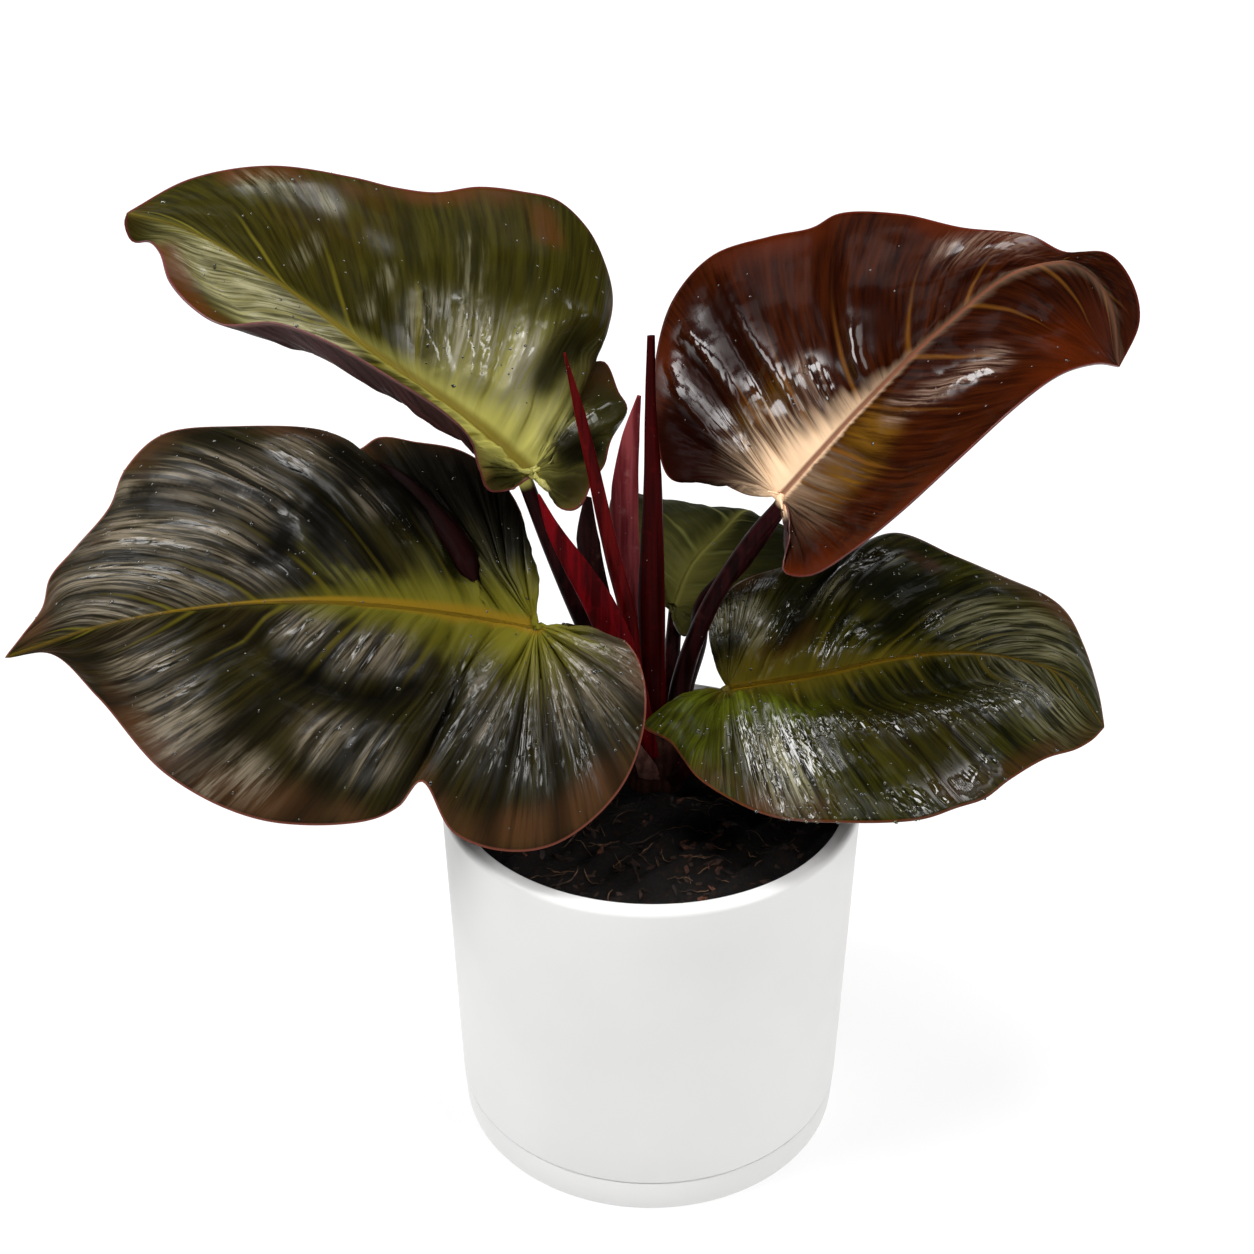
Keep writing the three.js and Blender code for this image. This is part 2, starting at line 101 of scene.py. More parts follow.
# Each leaf stands in a frame of its own at the joint of petiole and blade: heading, pitch and roll in
# degrees. Outline points are [towards the tip, to the left, up] from the joint. Lobe is the share of a
# margin that runs round the basal lobe, and bulge is how far a half swells, as a share of its width.
LEAVES = {
    "low_left": {
        "joint": [-43, -8, 225],
        "aim": [180, -2, -33],
        "midrib": [[34, -4, 7], [76, -8, 10], [118, -9, 7], [162, -6, 0]],
        "tip": [203, -1, -14],
        "left": [[-20, 6, 3], [-34, 12, 6], [-40, 33, 2], [-31, 62, -6], [-8, 81, -12], [12, 83, -14],
            [30, 77, -10], [41, 60, -3], [50, 67, -9], [62, 70, -14], [102, 65, -22], [139, 45, -24],
            [168, 13, -22], [187, -4, -17]],
        "right": [[3, -10, 4], [4, -23, 10], [4, -37, 16], [13, -56, 14], [28, -72, 10], [48, -82, 3],
            [63, -88, -2], [73, -85, -6], [83, -90, 0], [119, -92, 3], [147, -87, 6], [160, -72, 5],
            [166, -58, 0], [179, -43, -5], [188, -32, -8], [190, -20, -10], [197, -9, -12]],
        "lobe": {"left": 0.45, "right": 0.34},
        "bulge": {"left": 0.08, "right": 0.1},
        "petiole": [[-6, 6, 158], [-17, 1, 177], [-34, -5, 205]],
    },
    "high_left": {
        "joint": [-45, 14, 277],
        "aim": [180, 34, -46],
        "midrib": [[28, -4, 3], [74, -6, 6], [113, -10, 5], [147, -11, 0]],
        "tip": [167, -7, -6],
        "left": [[3, 9, 4], [12, 18, 10], [22, 18, 24], [32, 16, 38], [46, 17, 48], [67, 19, 54],
            [89, 18, 50], [106, 17, 38], [121, 20, 19], [132, 17, 11], [143, 10, 3], [151, 0, -4],
            [156, -3, -8], [161, -1, -11], [166, -4, -8]],
        "right": [[-8, 4, 5], [-13, 9, 8], [-18, 8, 9], [-21, 3, 8], [-21, -7, 6], [-23, -17, 3],
            [-22, -30, -1], [-22, -43, 0], [-17, -49, -4], [-8, -59, -9], [-3, -55, -9], [1, -50, -9],
            [-2, -61, -10], [-3, -72, -9], [1, -84, -8], [10, -94, -7], [22, -103, -8], [37, -106, -8],
            [51, -100, -7], [66, -91, -6], [79, -79, -6], [93, -72, -7], [107, -67, -8], [134, -54, -10],
            [155, -33, -10]],
        "lobe": {"left": 0.25, "right": 0.4},
        "bulge": {"left": -0.1, "right": 0.08},
        "petiole": [[-5, 11, 166], [-14, 10, 188], [-25, 11, 213], [-37, 12, 245]],
    },
    "high_right": {
        "joint": [46, 2, 273],
        "aim": [0, 36, 46],
        "midrib": [[41, 11, 2], [81, 19, 4], [112, 23, 0], [130, 18, -13], [133, 6, -30]],
        "tip": [124, -10, -50],
        "left": [[-9, 6, 3], [-18, 18, 4], [-32, 28, 3], [-30, 51, -4], [-21, 73, -7], [-2, 95, -9],
            [20, 102, -10], [43, 95, -11], [58, 88, -11], [69, 86, -10], [88, 71, -9], [104, 52, -8],
            [122, 35, -8], [129, 24, -12], [141, 18, -20], [143, 8, -32], [138, -2, -43]],
        "right": [[1, -7, 4], [-2, -19, 10], [-8, -31, 18], [1, -40, 25], [20, -43, 33], [40, -43, 40],
            [66, -39, 43], [89, -32, 36], [105, -23, 14], [117, -16, -16]],
        "lobe": {"left": 0.36, "right": 0.33},
        "bulge": {"left": 0.08, "right": -0.1},
        "petiole": [[10, 8, 163], [11, 9, 187], [20, 7, 221], [36, 5, 253]],
    },
    "low_right": {
        "joint": [29, 0, 193],
        "aim": [-4, 6, 16],
        "midrib": [[36, 1, 4], [61, 3, 8], [84, 6, 7], [106, 7, 2], [127, 6, -9]],
        "tip": [142, -6, -26],
        "left": [[-4, 10, 4], [-6, 27, 10], [4, 45, 12], [23, 56, 10], [44, 65, 6], [69, 79, 4],
            [92, 65, 2], [111, 56, -3], [127, 50, -9], [134, 44, -13], [139, 32, -19], [142, 11, -24]],
        "right": [[-4, -4, 0], [-16, -8, 2], [-31, -22, 6], [-21, -30, 5], [-16, -38, 4], [-9, -49, 4],
            [15, -65, 2], [41, -68, 0], [68, -65, -4], [82, -57, -8], [92, -51, -11], [102, -41, -13],
            [117, -28, -17], [129, -20, -22], [136, -14, -24]],
        "lobe": {"left": 0.3, "right": 0.36},
        "bulge": {"left": 0.1, "right": 0.12},
        "petiole": [[8, 4, 150], [17, 2, 161], [25, 1, 178]],
    },
    "back": {
        "joint": [9, 46, 204],
        "aim": [66, 14, 4],
        "midrib": [[23, 1, 4], [46, -4, 6], [64, -5, 2], [80, -5, -10], [94, -5, -30]],
        "tip": [104, -4, -66],
        "left": [[-3, 7, 3], [4, 20, 6], [24, 35, 6], [46, 48, 3], [64, 52, -3], [80, 48, -16],
            [92, 37, -34], [100, 20, -52]],
        "right": [[-9, -4, 1], [-13, -10, -1], [-7, -14, 1], [2, -22, 3], [16, -37, 3], [40, -48, 0],
            [64, -48, -8], [82, -38, -24], [96, -20, -48]],
        "lobe": {"left": 0.26, "right": 0.3},
        "bulge": {"left": 0.06, "right": 0.06},
        "petiole": [[5, 19, 160], [8, 31, 183]],
    },
    "behind": {
        "joint": [60, 46, 271],
        "aim": [70, 22, 0],
        "midrib": [[40, 0, 5], [80, 0, 3], [108, 0, -9]],
        "tip": [126, 0, -28],
        "left": [[-10, 5, 2], [-20, 14, 3], [-22, 32, 3], [-8, 46, 0], [20, 52, -3], [60, 47, -8],
            [94, 27, -15]],
        "right": [[-10, -5, 2], [-18, -13, 3], [-18, -29, 3], [-4, -41, 0], [24, -46, -3], [62, -41, -8],
            [96, -23, -15]],
        "lobe": {"left": 0.4, "right": 0.4},
        "bulge": {"left": 0.07, "right": 0.07},
        "petiole": [[8, 15, 163], [13, 22, 182], [18, 26, 198], [21, 33, 213], [35, 34, 230], [50, 38, 253]],
    },
}

# Red spears and sheaths: a centre line from the crown up, half widths and half thicknesses from foot to
# tip, and the direction that the broad side faces.
SHEATHS = {
    "tall_spear": {
        "line": [[2, 9, 171], [1, 8, 193], [0, 8, 225], [0, 8, 251], [0, 8, 278], [-1, 8, 305], [-1, 8, 332]],
        "width": [4.6, 5.4, 5.9, 4.8, 3.6, 2.2, 1.5],
        "depth": [3.6, 3.8, 3.6, 3.0, 2.4, 1.7, 0.9],
        "facing": [0.25, -1, 0],
    },
    "thin_spear": {
        "line": [[-4, 4, 166], [-6, 3, 190], [-9, 2, 224], [-14, 2, 246], [-18, 1, 266], [-22, 0, 287],
            [-26, -2, 307], [-31, -4, 330]],
        "width": [3.2, 3.6, 3.6, 3.3, 3.0, 2.6, 2.1, 0.4],
        "depth": [2.4, 2.6, 2.4, 2.2, 2.0, 1.7, 1.3, 0.4],
        "facing": [-0.2, -1, 0],
    },
    "crimson_sheath": {
        "line": [[-2, -1, 163], [-7, -3, 193], [-13, -5, 216], [-20, -6, 234], [-28, -8, 250], [-36, -8, 265],
            [-41, -7, 278]],
        "width": [5.0, 6.4, 6.8, 6.2, 4.8, 2.8, 0.5],
        "depth": [2.0, 1.8, 1.5, 1.3, 1.1, 0.9, 0.4],
        "facing": [-0.15, -1, 0.35],
    },
    "velvet_sheath": {
        "line": [[-1, 16, 169], [-4, 17, 192], [-8, 18, 222], [-10, 20, 247], [-10, 21, 268], [-8, 21, 288],
            [-5, 20, 305]],
        "width": [3.4, 4.4, 5.2, 6.0, 5.6, 3.6, 0.8],
        "depth": [2.0, 2.0, 1.8, 1.6, 1.4, 1.1, 0.5],
        "facing": [-0.3, -1, 0],
    },
    "old_sheath": {
        "line": [[-4, 17, 166], [-13, 19, 194], [-20, 19, 223], [-24, 19, 247], [-24, 17, 266]],
        "width": [3.6, 4.6, 5.4, 5.2, 1.6],
        "depth": [1.4, 1.3, 1.2, 1.1, 0.6],
        "facing": [-0.4, -1, 0],
    },
    "bract": {
        "line": [[0, 2, 150], [-2, -2, 160], [-5, -6, 172]],
        "width": [5.0, 4.6, 0.7],
        "depth": [1.4, 1.3, 0.4],
        "facing": [-0.3, -1, 0.2],
    },
}
PETIOLE_RADII = (4.6, 3.5, 2.9)

# The main side veins of each half: their counts in the basal lobe and beyond it, how many stations they run
# on towards the tip, in the lobe and beyond it, and the power with which they do.
VEINS = {
    "low_left": {"left": (6, 7, 0.4, 4.0, 0.9), "right": (5, 8, 0.0, 3.8, 1.1)},
    "high_left": {"left": (4, 8, 0.0, 3.0, 0.7), "right": (6, 7, 0.6, 3.0, 0.45)},
    "high_right": {"left": (6, 8, -1.2, 1.2, 1.0), "right": (5, 8, 0.4, 4.2, 0.9)},
    "low_right": {"left": (5, 6, 0.2, 3.2, 0.9), "right": (5, 7, 0.4, 3.8, 1.3)},
    "back": {"left": (5, 6, 0.2, 2.5, 0.8), "right": (5, 6, 0.2, 2.5, 0.8)},
    "behind": {"left": (5, 6, 0.2, 2.5, 0.8), "right": (5, 6, 0.2, 2.5, 0.8)},
}

# How each blade looks, with a column for each leaf in the order of LEAVES.
LOOK_COLUMNS = {
    # Pleats: height at the joint, the reach over which it fades, the share left far out, and the shares of
    # it in the left and the right lobe
    "pleat": (2.8, 2.6, 1.9, 1.8, 1.6, 1.6),
    "pleat_reach": (95, 70, 75, 75, 60, 60),
    "pleat_far": (0.42, 0.12, 0.16, 0.32, 0.2, 0.2),
    "lobe_pleat": ((1.0, 1.0), (1.0, 1.0), (0.7, 1.0), (0.3, 0.7), (0.8, 0.8), (0.8, 0.8)),
    # Colours of the streaks, the blush and the margin
    "dark": (
        (0.003, 0.0026, 0.0008), (0.0125, 0.011, 0.0009), (0.0085, 0.0014, 0.0005),
        (0.003, 0.0033, 0.0006), (0.006, 0.0064, 0.0016), (0.014, 0.005, 0.0015),
    ),
    "light": (
        (0.02, 0.0165, 0.003), (0.037, 0.032, 0.0024), (0.035, 0.0068, 0.0013),
        (0.036, 0.034, 0.003), (0.023, 0.023, 0.007), (0.04, 0.013, 0.003),
    ),
    "blush": (
        (0.055, 0.024, 0.009), (0.07, 0.022, 0.004), (0.06, 0.009, 0.0015),
        (0.05, 0.02, 0.006), (0.05, 0.045, 0.012), (0.1, 0.02, 0.006),
    ),
    "margin": (
        (0.2, 0.06, 0.04), (0.12, 0.02, 0.02), (0.1, 0.014, 0.008),
        (0.12, 0.03, 0.012), (0.06, 0.05, 0.03), (0.12, 0.02, 0.012),
    ),
    # The side veins, how far out they show as a share, and how strong the painted shade in the valleys along
    # them is
    "vein": (
        (0.08, 0.066, 0.007), (0.12, 0.1, 0.008), (0.13, 0.048, 0.007),
        (0.09, 0.07, 0.008), (0.11, 0.11, 0.03), (0.18, 0.08, 0.012),
    ),
    "vein_reach": (0.55, 0.6, 0.75, 0.5, 0.7, 0.7),
    "valley_shade": (0.65, 0.12, 0.15, 0.3, 0.3, 0.3),
    # The midrib and its width at the joint, and the pale halo beside it: its width at the joint on the left
    # and the right half, and the reach over which it narrows
    "rib": (
        (0.22, 0.13, 0.009), (0.17, 0.125, 0.012), (0.16, 0.055, 0.03),
        (0.13, 0.075, 0.004), (0.14, 0.13, 0.03), (0.3, 0.14, 0.04),
    ),
    "rib_width": (5.0, 4.0, 1.6, 2.6, 2.0, 2.0),
    "halo": ((19.0, 17.0), (6.0, 11.0), (12.0, 2.5), (12.0, 9.0), (6.0, 6.0), (6.0, 6.0)),
    "halo_reach": (120, 110, 75, 120, 100, 100),
    # The glow round the joint: its colour, its reach, its shares on the two halves and its share in the lobes
    "glow": (
        (0.15, 0.135, 0.012), (0.44, 0.41, 0.1), (0.95, 0.66, 0.42),
        (0.085, 0.065, 0.006), (0.1, 0.095, 0.02), (0.25, 0.15, 0.04),
    ),
    "glow_reach": (27, 46, 24, 26, 40, 40),
    "glow_shares": ((0.8, 0.8), (0.8, 0.8), (0.8, 0.15), (0.8, 0.3), (0.8, 0.8), (0.8, 0.8)),
    "lobe_glow": (0.9, 0.15, 0.5, 0.7, 0.6, 0.6),
    # Colours of the tints: pale patches, on the olive blade partly a painted sheen; painted shade for dark
    # patches; and a painted gray satin sheen
    "pale": (
        (0.1, 0.095, 0.02), (0.3, 0.28, 0.11), (0.12, 0.055, 0.005),
        (0.06, 0.075, 0.004), (0.14, 0.15, 0.06), (0.2, 0.14, 0.02),
    ),
    "shade": (
        (0.0035, 0.003, 0.002), (0.006, 0.005, 0.002), (0.007, 0.0012, 0.0008),
        (0.004, 0.0045, 0.002), (0.008, 0.009, 0.004), (0.008, 0.003, 0.001),
    ),
    "painted_sheen": (
        (0.15, 0.122, 0.083), (0.28, 0.26, 0.18), (0.17, 0.11, 0.08),
        (0.19, 0.175, 0.1), (0.12, 0.12, 0.07), (0.1, 0.06, 0.03),
    ),
    # The finish: dampness all over, its gloss and clear coat, how much it breaks up into strands and films of
    # water, how light the lower face is, and the count of drops
    "damp": (0.14, 0.12, 0.05, 0.09, 0.1, 0.1),
    "specular": (0.34, 0.4, 0.45, 0.5, 0.25, 0.25),
    "roughness": (0.32, 0.25, 0.17, 0.2, 0.42, 0.33),
    "coat": (0.1, 0.1, 0.15, 0.6, 0.1, 0.2),
    "strand": (0.55, 0.25, 0.08, 0.6, 0.5, 0.5),
    "wet": (0.45, 0.12, 0.02, 0.9, 0.1, 0.1),
    "under": (0.25, 1.0, 0.6, 0.6, 0.6, 0.6),
    "drops": (420, 160, 70, 900, 12, 12),
}
LOOKS = {name: {key: row[k] for key, row in LOOK_COLUMNS.items()} for k, name in enumerate(LEAVES)}

# The larger folds of each half blade: the height above the plain surface, the distance over which it falls
# away, the power of that fall, which is low for a sharp crease, and a line of (station, share) points.
FOLDS = {
    ("low_left", "left"): [
        (-6.5, 9, 1.3, (18, 0.2), (16.7, 0.33), (15.2, 0.43), (14, 0.46), (12.9, 0.4), (12.1, 0.3)),
        (2.5, 9, 2, (16.5, 0.48), (15.2, 0.58), (13.8, 0.62), (12.6, 0.56)),
        (1.4, 3, 1.6, (17.3, 0.08), (16.8, 0.28)),
        (1.4, 3, 1.6, (16.2, 0.08), (15.8, 0.34)),
        (1.4, 3, 1.6, (15.2, 0.08), (14.9, 0.38)),
        (1.4, 3, 1.6, (14.2, 0.08), (13.9, 0.38)),
        (1.4, 3, 1.6, (13.3, 0.08), (13, 0.34)),
        (-4.5, 4.5, 1.2, (12.2, 0.1), (11.6, 0.25), (10.8, 0.45), (10.3, 0.7), (10.1, 0.9)),
        (3, 6, 2, (11.2, 0.15), (10.2, 0.4), (9.5, 0.7), (9.3, 0.88)),
        (3, 13, 2, (14.2, 0.68), (12.8, 0.7)),
        (2, 12, 2, (19.5, 0.5), (18, 0.7)),
    ],
    ("low_left", "right"): [
        (1.8, 6, 1.6, (15.4, 0.25), (15.8, 0.5), (16.6, 0.68), (17.4, 0.85), (18.1, 0.96)),
        (1.8, 5, 1.6, (14.6, 0.3), (14.9, 0.5), (15.6, 0.7), (16.3, 0.85), (16.8, 0.95)),
        (2.5, 6, 1.6, (13.6, 0.3), (14, 0.55), (14.5, 0.8)),
        (-1.8, 4, 1.6, (15, 0.3), (15.4, 0.55), (16, 0.75), (17, 0.92)),
        (-2, 7, 1.6, (17, 0.45), (17.8, 0.62), (18.6, 0.8)),
        (-5, 8, 2, (16.9, 0.24), (16.4, 0.34)),
        (-3, 6, 2, (18.2, 0.16), (18.6, 0.24)),
        (2.5, 11, 2, (13, 0.25), (13, 0.6), (12.8, 0.92)),
        (-6, 7, 1.6, (11.4, 0.2), (11.3, 0.5), (11.2, 0.88)),
        (2.5, 5, 1.6, (9.3, 0.25), (9.2, 0.7)),
        (2.5, 5, 1.6, (7.2, 0.3), (7, 0.8)),
        (2, 5, 1.6, (4.5, 0.4), (4.2, 0.8)),
    ],
    ("high_left", "left"): [
        (2, 5, 1.6, (21.5, 0.2), (19, 0.3), (16.5, 0.3)),
        (-1.5, 4, 1.6, (21.5, 0.55), (19.5, 0.55)),
    ],
    ("high_left", "right"): [
        (3, 2.6, 1.4, (14.6, 0.1), (15.6, 0.24), (16.05, 0.38)),
        (3.2, 2.6, 1.4, (13.6, 0.13), (14.3, 0.27), (14.8, 0.42)),
        (3, 2.4, 1.4, (13.1, 0.13), (13.6, 0.3), (14.2, 0.44)),
        (3.2, 2.8, 1.4, (12.3, 0.15), (12.6, 0.34), (13, 0.46)),
        (4, 5, 1.6, (12, 0.3), (11.8, 0.42), (11.2, 0.55), (10.4, 0.66)),
        (-7, 8, 2, (11, 0.28), (10.5, 0.45), (9.8, 0.62)),
        (4, 3, 1.5, (5.3, 0.2), (5.2, 0.6), (5, 0.95)),
        (-4, 4.5, 2, (6.2, 0.3), (6, 0.8)),
        (-5, 5.5, 2, (4.2, 0.3), (4, 0.8)),
        (-3, 4, 2, (1.8, 0.3), (1.7, 0.75)),
        (3, 5, 1.6, (8.2, 0.3), (8, 0.7)),
        (2.2, 11, 2, (20.5, 0.72), (19.8, 0.8)),
        (-2, 10, 2, (17.4, 0.55), (17.2, 0.8)),
        (1.8, 14, 2, (13, 0.7), (14.5, 0.75)),
    ],
    ("high_right", "left"): [
        (3, 4.5, 1.5, (10.4, 0.82), (10.9, 0.6), (11.3, 0.42), (11.6, 0.27), (11.7, 0.15)),
        (2.8, 4, 1.5, (8.6, 0.82), (9.2, 0.68), (9.6, 0.52), (9.8, 0.38), (9.9, 0.25)),
        (2.4, 4, 1.5, (7, 0.9), (6.8, 0.72), (6.6, 0.5), (6.5, 0.3)),
        (-3.8, 6, 2, (9.8, 0.85), (10.1, 0.6), (10.6, 0.35)),
        (-3, 5, 2, (8, 0.8), (8.3, 0.55), (8.6, 0.3)),
        (-3, 5, 2, (5.6, 0.8), (5.4, 0.5)),
        (2, 4, 1.5, (12.9, 0.1), (12.6, 0.3)),
        (2.2, 4, 1.5, (14.1, 0.08), (14.2, 0.32)),
        (-2, 8, 2, (13.2, 0.4), (13, 0.85)),
        (1.6, 7, 2, (14.4, 0.4), (14.3, 0.85)),
        (-2, 8, 2, (15.6, 0.35), (15.6, 0.8)),
        (2, 6, 1.6, (17.6, 0.45), (18.4, 0.8)),
        (-1.5, 5, 2, (19, 0.4), (19.6, 0.8)),
    ],
    ("high_right", "right"): [
        (1.5, 3, 1.5, (13.6, 0.2), (15.4, 0.38), (17, 0.5)),
        (-2.4, 6, 2, (12, 0.3), (12.2, 0.6)),
        (2, 5, 1.6, (10.3, 0.3), (10.4, 0.7)),
        (-2.4, 5, 2, (8.6, 0.3), (8.5, 0.7)),
        (2.2, 4, 1.6, (7.2, 0.3), (7.2, 0.8)),
        (-2, 10, 2, (19, 0.4), (20, 0.5)),
    ],
    ("low_right", "left"): [
        (3, 5, 1.6, (12.6, 0.12), (12.4, 0.4), (12.6, 0.65)),
        (3.2, 6, 1.6, (14, 0.15), (14, 0.5), (14.2, 0.8)),
        (-5.5, 10, 2, (15.3, 0.35), (15.6, 0.55), (15.9, 0.75)),
        (2.5, 6, 1.6, (16.6, 0.12), (17.2, 0.4), (17.8, 0.7)),
        (-1.8, 6, 2, (18.6, 0.2), (19.4, 0.5)),
        (5, 9, 1.8, (9.1, 0.25), (9.3, 0.55), (9.2, 0.85)),
        (-5.5, 6, 1.6, (11, 0.25), (11.2, 0.5), (11.3, 0.8)),
        (-3, 5, 2, (5.4, 0.3), (5, 0.7)),
    ],
    ("low_right", "right"): [
        (4.5, 9, 1.4, (10, 0.26), (12.5, 0.36), (14, 0.5), (16, 0.53), (18, 0.5), (20.5, 0.46)),
        (-5, 9, 2, (13, 0.22), (16, 0.26), (19, 0.24)),
        (2, 9, 2, (13, 0.78), (16, 0.8), (19, 0.75)),
        (2.5, 5, 1.6, (9, 0.3), (8.6, 0.7)),
        (-2.5, 5, 2, (6.8, 0.3), (6.5, 0.7)),
        (2, 4, 1.6, (4.5, 0.4), (4.2, 0.8)),
    ],
    ("back", "left"): [
        (2.5, 5, 1.6, (8, 0.3), (8, 0.8)),
        (-3, 7, 2, (11, 0.2), (11, 0.7)),
        (2.5, 6, 1.6, (13.5, 0.2), (13.8, 0.8)),
    ],
    ("back", "right"): [
        (-3, 6, 2, (9, 0.3), (9, 0.8)),
        (2.5, 6, 1.6, (12, 0.3), (12.5, 0.8)),
    ],
    ("behind", "left"): [
        (3, 7, 1.6, (10, 0.3), (10.5, 0.8)),
        (-3, 8, 2, (13, 0.3), (13.5, 0.8)),
    ],
    ("behind", "right"): [
        (-3, 7, 2, (10.5, 0.3), (11, 0.8)),
        (2.5, 8, 1.6, (14, 0.3), (14.5, 0.8)),
    ],
}
